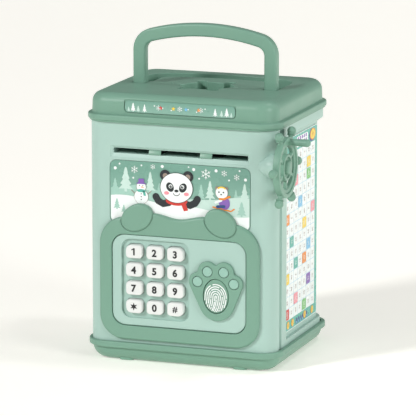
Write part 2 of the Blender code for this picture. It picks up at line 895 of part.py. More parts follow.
def door_outline():
    """The frame's outer line, without the ears: right half, then mirrored."""
    top = door_z0 + door_h
    low = arc(door_x - door_low_r, door_z0 + door_low_r, door_low_r, 270, 360, 6)
    high = arc(door_x - door_top_r, top - door_top_r, door_top_r, 0, 90, 6)
    crest = []
    for i in range(7):
        x = 17.0 * (1 - i / 6)
        crest.append((x, top + 0.6 + 2.7 * (1 - math.cos(math.pi * x / 17.0)) / 2))
    half = low + high + crest
    return half + [(-x, z) for x, z in reversed(half[:-1])]


def ear_outline(sx):
    points = []
    for u, v in circle(0, 0, 1, 24):
        x = u * ear_long
        z = v * ear_short
        tilt = -sx * ear_tilt
        px = x * math.cos(tilt) - z * math.sin(tilt)
        points.append((sx * ear_x + px, ear_z + x * math.sin(tilt) + z * math.cos(tilt)))
    return points


def make_door_frame(axis):
    frame = plate("door_frame", "Y", door_outline(), door_front_y, door_back_y)
    for sx in (-1, 1):
        ear = plate(f"ear_{sx}", "Y", ear_outline(sx), door_front_y - 0.8, door_back_y - 0.2)
        add(frame, ear)
    half = panel_w / 2 + GAP
    hole = rounded(-half, panel_z0 - GAP, half, panel_z0 + panel_h + GAP, panel_r + GAP)
    cut(frame, plate("panel_hole", "Y", hole, door_front_y - 3, door_back_y + 3))
    hang(paint(frame, "dark_green"), axis)


def key_spots():
    for row in range(4):
        for column in range(3):
            x = key_mid_x + (column - 1) * key_pitch_x
            yield x, key_mid_z + (1.5 - row) * key_pitch_z


def keypad_rect(inset, r):
    """The keypad's sunk floor, drawn in by inset."""
    across = key_pitch_x + key_w / 2 + keypad_edge - inset
    up = 1.5 * key_pitch_z + key_h / 2 + keypad_edge - inset
    return rounded(key_mid_x - across, key_mid_z - up, key_mid_x + across, key_mid_z + up, r)


def pad_outline(slack):
    points = circle(0, 0, 1, 20)
    return [(paw_x + u * (pad_half_w + slack), pad_mid_z + v * (pad_half_h + slack)) for u, v in points]


def make_door_panel(axis):
    half = panel_w / 2
    face = rounded(-half, panel_z0, half, panel_z0 + panel_h, panel_r)
    panel = plate("door_panel", "Y", face, panel_front_y, panel_back_y - 0.8)
    behind = rounded(
        -plug_left + GAP,
        plug_z0 + GAP,
        plug_right - GAP,
        plug_z0 + plug_h - GAP,
        5.0,
    )
    add(panel, plate("panel_flange", "Y", behind, front_y, panel_back_y))
    sink_y = panel_front_y + keypad_sink
    cut(panel, plate("keypad_sink", "Y", keypad_rect(0, 6.0), panel_front_y - 2, sink_y))
    holes = []
    half_w = key_w / 2 + GAP
    half_h = key_h / 2 + GAP
    for i, (x, z) in enumerate(key_spots()):
        outline = rounded(x - half_w, z - half_h, x + half_w, z + half_h, key_r + GAP, 2)
        holes.append(plate(f"key_hole_{i}", "Y", outline, sink_y - 3, panel_back_y + 2))
    for i, (x, z) in enumerate(toe_spots):
        holes.append(
            rod(f"toe_hole_{i}", "Y", paw_x + x, z, toe_r + GAP, panel_front_y - 3, panel_back_y + 2)
        )
    holes.append(plate("pad_hole", "Y", pad_outline(GAP), panel_front_y - 3, panel_back_y + 2))
    cut(panel, joined("panel_holes", holes))
    hang(paint(panel, "light_green"), axis)


def make_keys(axis):
    names = ("1", "2", "3", "4", "5", "6", "7", "8", "9", "star", "0", "hash")

    def face(w, h, r):
        return rounded(-w / 2, -h / 2, w / 2, h / 2, r, 2)

    back = panel_back_y + GAP
    shape = [
        (back + 0.7, face(key_w + 1.2, key_h + 1.2, key_r + 0.6)),
        (back, face(key_w + 1.2, key_h + 1.2, key_r + 0.6)),
        (back, face(key_w, key_h, key_r)),
        (key_front_y + 0.6, face(key_w, key_h, key_r)),
        (key_front_y, face(key_w - 1.2, key_h - 1.2, key_r - 0.6)),
    ]
    shared = None
    for name, (x, z) in zip(names, key_spots()):
        if shared is None:
            key = stack(f"key_{name}", "Y", shape)
            shared = key.data
        else:
            key = bpy.data.objects.new(f"key_{name}", shared)
            bpy.context.scene.collection.objects.link(key)
        key.location = Vector((x, 0, z)) * MM
        if not shared.materials:
            paint(key, "key_white")
        hang(key, axis)


def make_paw(axis):
    heel_x, heel_z, heel_r = paw_heel
    lobes = [(paw_x + x, z, paw_lobe_r) for x, z in toe_spots]
    heel = (paw_x + heel_x, heel_z, heel_r)
    back = panel_front_y - GAP
    front = back - paw_t
    paw = plate("paw_plate", "Y", capsule_hull([lobes[0], lobes[3], heel]), front, back)
    for i in (1, 2):
        x, z, r = lobes[i]
        add(paw, rod(f"paw_lobe_{i}", "Y", x, z, r + 0.6, front, back, 18))
    holes = []
    for i, (x, z) in enumerate(toe_spots):
        holes.append(rod(f"paw_hole_{i}", "Y", paw_x + x, z, toe_r + GAP, front - 2, back + 2))
    holes.append(plate("paw_pad_hole", "Y", pad_outline(GAP), front - 2, back + 2))
    cut(paw, joined("paw_holes", holes))
    hang(paint(paw, "dark_green"), axis)
    stem = panel_back_y + GAP
    studs = []
    for i, (x, z) in enumerate(toe_spots):
        studs.append(rod(f"toe_{i}", "Y", paw_x + x, z, toe_r, front - 0.3, stem + 0.7))
    guide = plate("toe_light_guide", "Y", toe_bar(), stem, stem + 1.4)
    add(guide, joined("toe_studs", studs))
    hang(paint(guide, "light_green"), axis)
    pad = stack(
        "fingerprint_pad",
        "Y",
        [
            (stem + 0.9, pad_outline(0.9)),
            (stem, pad_outline(0.9)),
            (stem, pad_outline(0)),
            (front + 0.9, pad_outline(0)),
            (front + 0.5, pad_outline(-0.5)),
        ],
    )
    hang(paint(pad, "dark_green"), axis)


def toe_bar():
    """An arched strip behind the panel, through the four toe studs and clear of the pad."""
    above = [(paw_x + x, z + 4.2) for x, z in toe_spots]
    first = paw_x + toe_spots[0][0]
    last = paw_x + toe_spots[3][0]
    low = toe_spots[0][1] - 1.0
    under = arc(paw_x, pad_mid_z, pad_half_h + 2.2, 30, 150, 8)
    left = [(first - 3.4, low + 1.5), (first - 1.5, low - 2.5)]
    right = [(last + 1.5, low - 2.5), (last + 3.4, low + 1.5)]
    return list(reversed(above)) + left + list(reversed(under)) + right


def make_door_inside(axis):
    front = panel_back_y + GAP + 0.7 + key_travel + 0.2
    membrane = plate("keypad_membrane", "Y", keypad_rect(membrane_in, 2.0), front, front + 0.8)
    hang(paint(membrane, "rubber"), axis)
    inner = plug_wall + 1.0
    board = rounded(
        -plug_left + inner + 1.5,
        plug_z0 + inner,
        plug_right - inner,
        plug_z0 + plug_h - inner,
        3.0,
        2,
    )
    hang(paint(plate("door_board", "Y", board, front + 1.1, front + 2.5), "circuit_board"), axis)
    outline = rounded(-plug_left, plug_z0, plug_right, plug_z0 + plug_h, 5.0)
    cover = plate("door_back_cover", "Y", outline, panel_back_y + GAP, plug_back_y)
    room = rounded(
        -plug_left + plug_wall,
        plug_z0 + plug_wall,
        plug_right - plug_wall,
        plug_z0 + plug_h - plug_wall,
        3.5,
    )
    cut(cover, plate("cover_room", "Y", room, panel_back_y - 1, plug_back_y - plug_wall))
    for z in (arm_low_z, arm_high_z):
        add(cover, plate(f"hinge_arm_{z}", "Z", arm_outline(), z, z + arm_t))
    catch = rounded(plug_back_y - 0.9, lock_z - 7, plug_back_y + 9.9, lock_z + 7, 2.0, 3)
    add(cover, plate("catch_plate", "X", catch, catch_x - 2.5, catch_x))
    holes = [
        rod(
            "catch_hole", "X", lock_y, lock_z, bolt_r + 0.6, catch_x - 4, catch_x + 1.5, 16
        )
    ]
    for z in (arm_low_z, arm_high_z):
        bore = rod(f"bore_{z}", "Z", hinge_x, hinge_y, hinge_pin_r + GAP, z - 1, z + arm_t + 1, 12)
        holes.append(bore)
    cut(cover, joined("cover_holes", holes))
    hang(paint(cover, "light_green"), axis)


def arm_outline():
    """A hinge arm in plan: round the edge of the casing's opening, then in to the pin."""
    outer = arm_r + arm_w / 2
    inner = arm_r - arm_w / 2
    end = 83
    half = arm_w / 2
    turn = math.radians(end)
    along = (math.cos(turn), math.sin(turn))
    across = (-along[1], along[0])

    def spot(reach, side):
        return (
            hinge_x + along[0] * reach + across[0] * side,
            hinge_y + along[1] * reach + across[1] * side,
        )

    knuckle_half = math.degrees(math.asin(half / knuckle_r))
    meet = math.degrees(math.asin(half / inner))
    points = arc(hinge_x, hinge_y, outer, -20, end, 10)
    points.append(spot(outer - 0.4, half))
    points += arc(hinge_x, hinge_y, knuckle_r, end + knuckle_half, end + 360 - knuckle_half, 14)
    points += arc(hinge_x, hinge_y, inner, end - meet, -20, 9)
    return points


def make_door_pin():
    low = lug_places[0] + 0.2
    paint(rod("door_hinge_pin", "Z", hinge_x, hinge_y, hinge_pin_r, low, pin_top, 12), "steel")


# ---------------------------------------------------------------- works inside

def make_feeder():
    cheek_in = slot_w / 2 + 1.5
    cheek_out = cheek_in + cheek_t
    low = slot_z - slot_h / 2 - 0.2
    high = slot_z + slot_h / 2 + 0.2
    y0 = front_y + wall + 0.4
    y1 = y0 + chute_long
    chute = box("note_chute", -cheek_out, cheek_out, y0, y1, low - chute_t, high + chute_t)
    cheeks = []
    for sx in (-1, 1):
        xs = sorted((sx * cheek_in, sx * cheek_out))
        y_front = max(y0, feed_y - 9.0)
        cheeks.append(box(f"cheek_{sx}", *xs, y_front, feed_y + 9.5, feed_z - 8, pinch_z + 5))
    for tool in cheeks:
        add(chute, tool)
    way = slot_w / 2 + 0.7
    cut(chute, box("note_way", -way, way, y0 - 1, y1 + 1, low, high))
    windows = []
    half_w = feed_roller_w / 2 + 0.6
    for sx in (-1, 1):
        x = sx * feed_roller_x
        windows.append(
            box(f"feed_window_{sx}", x - half_w, x + half_w, feed_y - 7.5, feed_y + 7.5, low - 5, low + 1)
        )
    half_w = pinch_roller_w / 2 + 0.6
    windows.append(
        box("pinch_window", -half_w, half_w, feed_y - 4.8, feed_y + 4.8, high - 1, high + 5)
    )
    cut(chute, joined("roller_windows", windows))
    bores = []
    reach = cheek_out + 1
    for sx in (-1, 1):
        xs = sorted((sx * (cheek_in - 1), sx * reach))
        bores.append(rod(f"feed_bore_{sx}", "X", feed_y, feed_z, feed_shaft_r + GAP, *xs, 14))
    bores.append(rod("pinch_bore", "X", feed_y, pinch_z, 1.2 + GAP, -reach, reach, 12))
    cut(chute, joined("axle_bores", bores))
    paint(chute, "light_green")
    shaft = rod("feed_shaft", "X", feed_y, feed_z, feed_shaft_r, -reach, reach - 0.7, 14)
    paint(set_origin(shaft, 0, feed_y, feed_z), "steel")
    for side, sx in (("left", -1), ("right", 1)):
        x = sx * feed_roller_x
        half = feed_roller_w / 2
        roller = rod(
            f"feed_roller_{side}", "X", feed_y, feed_z, feed_roller_r, x - half, x + half, 24
        )
        cut(
            roller,
            rod(f"roller_bore_{sx}", "X", feed_y, feed_z, feed_shaft_r + GAP, x - half - 1, x + half + 1, 14),
        )
        paint(set_origin(roller, 0, feed_y, feed_z), "rubber")
    half = pinch_roller_w / 2
    ends = (
        (-reach + 0.7, 1.2),
        (-half, 1.2),
        (-half, pinch_roller_r),
        (half, pinch_roller_r),
        (half, 1.2),
        (reach - 0.7, 1.2),
    )
    pinch = turned("pinch_roller", "X", feed_y, pinch_z, ends, 20)
    paint(set_origin(pinch, 0, feed_y, pinch_z), "black_plastic")
    motor_x = reach - 0.7 + GAP
    room = side_x - 6.2
    body = ((motor_x, 4.0), (motor_x + 1.0, 4.0), (motor_x + 1.0, 7.6), (room, 7.6))
    paint(turned("feed_motor", "X", feed_y, feed_z, body, 24), "steel")
    for side, sx in (("left", -1), ("right", 1)):
        x = sx * finger_x
        half = finger_w / 2
        edge = slot_h / 2 - GAP
        finger = rounded(front_y + 0.8, slot_z - edge, front_y + wall - 0.1, slot_z + edge, 0.6, 2)
        paint(plate(f"note_finger_{side}", "X", finger, x - half, x + half), "dark_green")


def make_electrics():
    back = panel_y - wall - GAP
    x0 = board_x0
    z0 = board_z0
    board = box("main_board", x0, board_x1, back - 1.6, back, z0, board_z1)
    chips = [
        box("chip_a", x0 + 12, x0 + 26, back - 3.6, back - 1.2, z0 + 12, z0 + 26),
        box("chip_b", x0 + 34, x0 + 44, back - 3.2, back - 1.2, z0 + 6, z0 + 16),
        box("plug_row", x0 + 10, x0 + 38, back - 7.0, back - 1.2, board_z1 - 8, board_z1 - 3),
    ]
    add(board, joined("board_chips", chips))
    paint(board, "circuit_board")
    cone = (
        (back - 8.0, 6.5),
        (back - 4.5, 6.5),
        (back - 4.5, 9.0),
        (back - 1.5, speaker_r - 1),
        (back - 1.5, speaker_r),
        (back, speaker_r),
    )
    paint(turned("speaker", "Y", speaker_x, speaker_z, cone, 28), "black_plastic")
    x0 = catch_x + 2.5
    x1 = panel_x - wall - GAP
    can = box("lock_solenoid", x0, x1, lock_y - 4.8, lock_y + 8.2, lock_z - 8, lock_z + 8)
    cut(can, rod("bolt_way", "X", lock_y, lock_z, bolt_r + GAP, x0 - 1, x1 + 1, 16))
    paint(can, "steel")
    bolt = turned(
        "latch_bolt",
        "X",
        lock_y,
        lock_z,
        ((catch_x + 1.5, bolt_r - 0.6), (catch_x + 2.1, bolt_r), (x1 - 0.8, bolt_r)),
        16,
    )
    paint(set_origin(bolt, catch_x + 1.5, lock_y, lock_z), "steel")


# Places shared by two or more pieces
lug_t = 4.5
lug_places = (arm_low_z - GAP - lug_t, arm_high_z + arm_t + GAP)
pin_top = lug_places[1] + lug_t + 1.0
lock_y = plug_back_y + 5.4
pin_in = handle_half_w - handle_band - 2.0
pin_out = handle_half_w + 2.2

for old in list(bpy.data.objects):
    bpy.data.objects.remove(old)

materials = make_materials()
hatch_screw_y = make_base()
make_power(hatch_screw_y)
make_front_shell()
make_rear_shell()
make_films()
make_lid()
make_handle()
make_wheel()
door_axis = axis_empty("door_axis", hinge_x, hinge_y, 0)
make_door_frame(door_axis)
make_door_panel(door_axis)
make_keys(door_axis)
make_paw(door_axis)
make_door_inside(door_axis)
make_door_pin()
make_feeder()
make_electrics()
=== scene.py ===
import math

import bmesh
import bpy
from mathutils import Matrix, Vector


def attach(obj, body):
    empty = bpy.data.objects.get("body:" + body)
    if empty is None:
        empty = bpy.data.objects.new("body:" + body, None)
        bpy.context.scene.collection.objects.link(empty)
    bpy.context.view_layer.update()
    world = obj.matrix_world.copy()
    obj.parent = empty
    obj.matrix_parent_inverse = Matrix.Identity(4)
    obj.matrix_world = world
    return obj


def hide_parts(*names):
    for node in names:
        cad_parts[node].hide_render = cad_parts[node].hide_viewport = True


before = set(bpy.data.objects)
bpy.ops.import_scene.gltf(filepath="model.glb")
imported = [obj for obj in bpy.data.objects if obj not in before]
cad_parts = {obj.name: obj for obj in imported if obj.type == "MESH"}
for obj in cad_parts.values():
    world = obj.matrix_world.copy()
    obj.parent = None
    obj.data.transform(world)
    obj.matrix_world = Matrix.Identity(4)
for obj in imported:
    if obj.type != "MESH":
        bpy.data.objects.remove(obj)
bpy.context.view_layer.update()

mm = 0.001  # shapes below are in millimetres, each mesh is scaled as it is made
gap = 0.3  # between pieces that touch


def arc(cx, cy, r, start, end, steps):
    turns = [math.radians(start + (end - start) * i / steps) for i in range(steps + 1)]
    return [(cx + r * math.cos(a), cy + r * math.sin(a)) for a in turns]


def circle(cx, cy, r, sides=48):
    return arc(cx, cy, r, 0, 360, sides)[:-1]


def oval(cx, cy, rx, ry, sides=48, tilt=0.0):
    c, s = math.cos(tilt), math.sin(tilt)
    return [(cx + u * rx * c - v * ry * s, cy + u * rx * s + v * ry * c) for u, v in circle(0, 0, 1, sides)]


def rounded(x0, y0, x1, y1, r, steps=8):
    return (
        arc(x1 - r, y1 - r, r, 0, 90, steps)
        + arc(x0 + r, y1 - r, r, 90, 180, steps)
        + arc(x0 + r, y0 + r, r, 180, 270, steps)
        + arc(x1 - r, y0 + r, r, 270, 360, steps)
    )


def rect(x0, y0, x1, y1):
    return [(x0, y0), (x1, y0), (x1, y1), (x0, y1)]


def roundedAt(x, y, halfX, halfY, r, steps=8):
    return rounded(x - halfX, y - halfY, x + halfX, y + halfY, r, steps)


def mirrored(half):
    # a right half, from its first to its last point, and its left half back
    return half + [(-x, y) for x, y in reversed(half[:-1])]


def quarter(steps):
    # sine and cosine at even steps of a quarter turn
    turns = [math.radians(90 * i / steps) for i in range(steps + 1)]
    return [(math.sin(a), math.cos(a)) for a in turns]


def inset(points, d):
    # moves an anticlockwise outline inwards by d, along its own normals
    made = []
    count = len(points)
    for i, (x, y) in enumerate(points):
        ax, ay = points[i - 1]
        bx, by = points[(i + 1) % count]
        e1 = Vector((x - ax, y - ay)).normalized()
        e2 = Vector((bx - x, by - y)).normalized()
        n = Vector((-(e1.y + e2.y), e1.x + e2.x)).normalized()
        grow = max(n.dot(Vector((-e1.y, e1.x))), 0.5)
        made.append((x + n.x * d / grow, y + n.y * d / grow))
    return made


def ribbon(points, width, ends=4):
    # outline of a line of even width with round ends
    left, right = [], []
    count = len(points)
    for i, spot in enumerate(points):
        before = Vector(points[max(i - 1, 0)])
        after = Vector(points[min(i + 1, count - 1)])
        along = (after - before).normalized()
        side = Vector((-along.y, along.x)) * width / 2
        left.append((spot[0] + side.x, spot[1] + side.y))
        right.append((spot[0] - side.x, spot[1] - side.y))
    first = Vector(points[1]) - Vector(points[0])
    last = Vector(points[-1]) - Vector(points[-2])
    startTurn = math.degrees(math.atan2(first.y, first.x))
    endTurn = math.degrees(math.atan2(last.y, last.x))
    startCap = arc(*points[0], width / 2, startTurn + 90, startTurn + 270, ends)[1:-1]
    endCap = arc(*points[-1], width / 2, endTurn - 90, endTurn + 90, ends)[1:-1]
    return startCap + right + endCap + list(reversed(left))


def shifted(at, *steps):
    # profile points whose places along the axis are counted from at
    return [(at + h, r) for h, r in steps]


def edgeSteps(low, high, lowEdge, highEdge, steps=4):
    # (height, inset) pairs for a plate whose two rims are rounded
    lower = [(low + lowEdge * (1 - c), lowEdge * (1 - s)) for s, c in quarter(steps)]
    upper = [(high - highEdge * (1 - s), highEdge * (1 - c)) for s, c in quarter(steps)]
    return (lower if lowEdge else [(low, 0)]) + (upper if highEdge else [(high, 0)])


axisPlace = {
    "X": lambda u, v, h: (h, u, v),
    "Y": lambda u, v, h: (u, h, v),
    "Z": lambda u, v, h: (u, v, h),
}


def finishMesh(name, bm, sharp=38):
    bmesh.ops.recalc_face_normals(bm, faces=bm.faces)
    mesh = bpy.data.meshes.new(name)
    bm.to_mesh(mesh)
    bm.free()
    mesh.shade_smooth()
    mesh.set_sharp_from_angle(angle=math.radians(sharp))
    obj = bpy.data.objects.new(name, mesh)
    bpy.context.scene.collection.objects.link(obj)
    return obj


def bridge(bm, rings, closed=False):
    # faces between rings of equal length, and end faces unless the last ring meets the first
    count = len(rings[0])
    pairs = list(zip(rings, rings[1:]))
    if closed:
        pairs.append((rings[-1], rings[0]))
    else:
        bm.faces.new(rings[0])
        bm.faces.new(rings[-1])
    for a, b in pairs:
        for i in range(count):
            j = (i + 1) % count
            bm.faces.new((a[i], a[j], b[j], b[i]))


def stack(name, axis, sections):
    # a solid through outlines of equal length, given as (height along axis, outline)
    spot = axisPlace[axis]
    bm = bmesh.new()
    bridge(bm, [[bm.verts.new(Vector(spot(u, v, h)) * mm) for u, v in outline] for h, outline in sections])
    return finishMesh(name, bm)


def plate(name, axis, outline, low, high):
    return stack(name, axis, [(low, outline), (high, outline)])


def softPlate(name, axis, outline, low, high, lowEdge=0.0, highEdge=0.0, steps=4):
    # a plate with rounded rims; outline runs anticlockwise
    rims = edgeSteps(low, high, lowEdge, highEdge, steps)
    return stack(name, axis, [(h, inset(outline, d) if d > 1e-6 else outline) for h, d in rims])


def box(name, x0, x1, y0, y1, z0, z1):
    return plate(name, "Z", rect(x0, y0, x1, y1), z0, z1)


def rod(name, axis, u, v, r, low, high, sides=32):
    return plate(name, axis, circle(u, v, r, sides), low, high)


def turned(name, axis, u, v, profile, sides=40):
    # a turned piece on an axis through (u, v); profile is (place along the axis, radius)
    return stack(name, axis, [(h, circle(u, v, r, sides)) for h, r in profile])


def settle(obj, tools=()):
    # applies the modifiers and removes the tools they used
    graph = bpy.context.evaluated_depsgraph_get()
    mesh = bpy.data.meshes.new_from_object(obj.evaluated_get(graph), depsgraph=graph)
    old = obj.data
    obj.modifiers.clear()
    obj.data = mesh
    bpy.data.meshes.remove(old)
    mesh.name = obj.name
    for tool in tools:
        bpy.data.objects.remove(tool)
    return obj


def combine(obj, operation, tools):
    for tool in tools:
        modifier = obj.modifiers.new(tool.name, "BOOLEAN")
        modifier.operation = operation
        modifier.solver = "EXACT"
        modifier.object = tool
    return settle(obj, tools)


def cut(obj, *tools):
    return combine(obj, "DIFFERENCE", tools)


def add(obj, *tools):
    return combine(obj, "UNION", tools)


def soften(obj, width, segments=3, angle=50):
    # rounds the edges that a cut has left sharp
    modifier = obj.modifiers.new("edges", "BEVEL")
    modifier.width = width * mm
    modifier.segments = segments
    modifier.limit_method = "ANGLE"
    modifier.angle_limit = math.radians(angle)
    modifier.use_clamp_overlap = True
    modifier.miter_outer = "MITER_ARC"
    settle(obj)
    return smooth(obj)


def smooth(obj, sharp=38):
    obj.data.shade_smooth()
    obj.data.set_sharp_from_angle(angle=math.radians(sharp))
    weighted = obj.modifiers.new("even shading", "WEIGHTED_NORMAL")
    weighted.keep_sharp = True
    weighted.weight = 80
    return obj


def give(obj, body, material, node=None):
    # gives a finished piece its finish and its body, and hides the CAD node that it stands for
    obj.data.materials.clear()
    obj.data.materials.append(material)
    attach(obj, body)
    if node:
        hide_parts(node)
    return obj


def startMaterial(name):
    material = bpy.data.materials.new(name)
    material.use_nodes = True
    tree = material.node_tree
    return material, tree, tree.nodes["Principled BSDF"], tree.nodes.new("ShaderNodeTexCoord")


def link(tree, a, outName, b, inName):
    tree.links.new(a.outputs[outName], b.inputs[inName])


def addNoise(tree, coord, scale, detail=2.0, rough=0.5):
    noise = tree.nodes.new("ShaderNodeTexNoise")
    noise.inputs["Scale"].default_value = scale
    noise.inputs["Detail"].default_value = detail
    noise.inputs["Roughness"].default_value = rough
    link(tree, coord, "Object", noise, "Vector")
    return noise


def addRange(tree, source, outName, low, high, fromLow=0.3, fromHigh=0.7):
    ranged = tree.nodes.new("ShaderNodeMapRange")
    ranged.inputs["From Min"].default_value = fromLow
    ranged.inputs["From Max"].default_value = fromHigh
    ranged.inputs["To Min"].default_value = low
    ranged.inputs["To Max"].default_value = high
    link(tree, source, outName, ranged, "Value")
    return ranged


def addTint(tree, factor, dark, light):
    tint = tree.nodes.new("ShaderNodeMix")
    tint.data_type = "RGBA"
    tint.inputs[6].default_value = (*dark, 1.0)
    tint.inputs[7].default_value = (*light, 1.0)
    link(tree, factor, "Result", tint, "Factor")
    return tint


def setTint(tree, shader, factor, dark, light):
    tint = addTint(tree, factor, dark, light)
    tree.links.new(tint.outputs[2], shader.inputs["Base Color"])


def setGloss(tree, shader, noise, low, high):
    link(tree, addRange(tree, noise, "Fac", low, high), "Result", shader, "Roughness")


def setBump(tree, shader, *heights):
    # heights are (noise, distance) pairs; each adds a bump on top of the last
    last = None
    for noise, far in heights:
        bump = tree.nodes.new("ShaderNodeBump")
        bump.inputs["Strength"].default_value = 1.0
        bump.inputs["Distance"].default_value = far
        link(tree, noise, "Fac", bump, "Height")
        if last:
            link(tree, last, "Normal", bump, "Normal")
        last = bump
    link(tree, last, "Normal", shader, "Normal")


def screenColour(r, g, b):
    # a colour as picked on a screen, 0 to 255, as the shader wants it
    return tuple(((c / 255 + 0.055) / 1.055) ** 2.4 if c > 10 else c / 255 / 12.92 for c in (r, g, b))


def shade(colour, share):
    return tuple(min(max(c * share, 0.0), 1.0) for c in colour)


plasticLook = {
    "darkGreen": screenColour(120, 160, 141),
    "lightGreen": screenColour(168, 198, 188),
    "keyWhite": screenColour(226, 228, 226),
    "toeGreen": screenColour(148, 188, 173),
    "black": screenColour(38, 38, 40),
    "shine": 0.32,
    "cloudSize": 9.0,  # sizes are per metre
    "flowSize": 35.0,
    "grainSize": 1500.0,
    "grainDepth": 0.000012,
    "flowDepth": 0.000004,
}
filmLook = {
    "rough": 0.28,
    "dotSize": 3200.0,
    "rippleSize": 120.0,
    "rippleDepth": 0.00002,
    "skyLow": screenColour(136, 178, 162),
    "skyHigh": screenColour(112, 158, 142),
}


def mouldedPlastic(name, colour, rough=0.36, grain=1.0):
    # injection moulded plastic: fine spark-eroded grain, faint flow marks, uneven gloss
    material, tree, shader, coord = startMaterial(name)
    flow = addNoise(tree, coord, plasticLook["flowSize"], 3.0)
    cloud = addNoise(tree, coord, plasticLook["cloudSize"], 2.0)
    fine = addNoise(tree, coord, plasticLook["grainSize"], 2.0, 0.6)
    clouds = addRange(tree, cloud, "Fac", 0.0, 1.0)
    setTint(tree, shader, clouds, shade(colour, 0.98), shade(colour, 1.02))
    setGloss(tree, shader, flow, rough - 0.05, rough + 0.06)
    setBump(tree, shader, (flow, plasticLook["flowDepth"]), (fine, plasticLook["grainDepth"] * grain))
    shader.inputs["IOR"].default_value = 1.49
    shader.inputs["Specular IOR Level"].default_value = plasticLook["shine"]
    return material


def filmGloss(tree, shader, coord, rough):
    # the slightly rippled gloss of a clear film
    ripple = addNoise(tree, coord, filmLook["rippleSize"], 2.0)
    setGloss(tree, shader, ripple, rough - 0.03, rough + 0.05)
    return ripple


def printedInk(name, colour, rough=filmLook["rough"]):
    # ink under a clear film, with a fine dot screen
    material, tree, shader, coord = startMaterial(name)
    dots = tree.nodes.new("ShaderNodeTexVoronoi")
    dots.inputs["Scale"].default_value = filmLook["dotSize"]
    link(tree, coord, "Object", dots, "Vector")
    screen = addRange(tree, dots, "Distance", 0.0, 1.0, 0.1, 0.7)
    setTint(tree, shader, screen, shade(colour, 0.975), shade(colour, 1.02))
    setBump(tree, shader, (filmGloss(tree, shader, coord, rough), filmLook["rippleDepth"]))
    return material


def fadeInk(name, fromZ, toZ):
    # sky ink that fades with height
    material, tree, shader, coord = startMaterial(name)
    split = tree.nodes.new("ShaderNodeSeparateXYZ")
    link(tree, coord, "Object", split, "Vector")
    rise = addRange(tree, split, "Z", 0.0, 1.0, fromZ * mm, toZ * mm)
    setTint(tree, shader, rise, filmLook["skyLow"], filmLook["skyHigh"])
    filmGloss(tree, shader, coord, filmLook["rough"])
    return material


def metal(name, colour, rough=0.3):
    # plated or drawn steel with fine lines
    material, tree, shader, coord = startMaterial(name)
    stretch = tree.nodes.new("ShaderNodeMapping")
    stretch.inputs["Scale"].default_value = (200.0, 200.0, 4000.0)
    link(tree, coord, "Object", stretch, "Vector")
    lines = tree.nodes.new("ShaderNodeTexNoise")
    lines.inputs["Scale"].default_value = 1.0
    link(tree, stretch, "Vector", lines, "Vector")
    setTint(tree, shader, addRange(tree, lines, "Fac", 0, 1), shade(colour, 0.85), shade(colour, 1.1))
    setGloss(tree, shader, lines, rough - 0.08, rough + 0.1)
    setBump(tree, shader, (lines, 0.00001))
    shader.inputs["Metallic"].default_value = 1.0
    return material


darkPlastic = mouldedPlastic("darkGreenPlastic", plasticLook["darkGreen"])
lightPlastic = mouldedPlastic("lightGreenPlastic", plasticLook["lightGreen"])
keyPlastic = mouldedPlastic("whiteKeyPlastic", plasticLook["keyWhite"], 0.26, 0.4)
toePlastic = mouldedPlastic("toePlastic", plasticLook["toeGreen"], 0.3, 0.4)
blackPlastic = mouldedPlastic("blackPlastic", plasticLook["black"], 0.5)
platedSteel = metal("platedSteel", (0.62, 0.62, 0.63))
print("finishes ready")


cameraLook = {
    "place": (0.7286, -2.0328, 0.5319),
    "aim": (-0.01270, 0.03459, 0.08419),
    "lens": 297.9,
}
floorLook = {  # metres
    "half": 3.0,
    "bendAt": 2.2,  # where the floor starts to curve up, with a radius of 1
    "wallTop": 4.5,
    "drop": 0.0001,  # the base's flat underside doesn't share a plane with the floor
    "tints": ((0.955, 0.935, 0.875), (0.97, 0.95, 0.895)),
    "darkWall": (0.3, 0.34, 0.32),
    "darkens": (0.05, 0.5),  # the wall is darker from the first height to the second
    "glow": (0.18, 0.56),  # keeps the far floor as pale as the near one
    "glowSpan": (-0.6, 1.8),
    "glowColour": (1.0, 0.98, 0.93, 1.0),
}
roomLight = 0.27
lights = {
    # name: place, height aimed at, size, power
    "keyLight": ((-1.45, -2.1, 1.55), 0.1, 0.45, 47.5),
    "rightLight": ((2.3, -1.2, 0.7), 0.1, 0.8, 19),
    "cornerLight": ((1.0, -0.38, 0.55), 0.12, 0.25, 1.5),
    "topLight": ((0.85, 0.2, 1.9), 0.15, 0.3, 6),
    "backLight": ((1.7, 1.5, 1.0), 0.1, 1.0, 6),
}


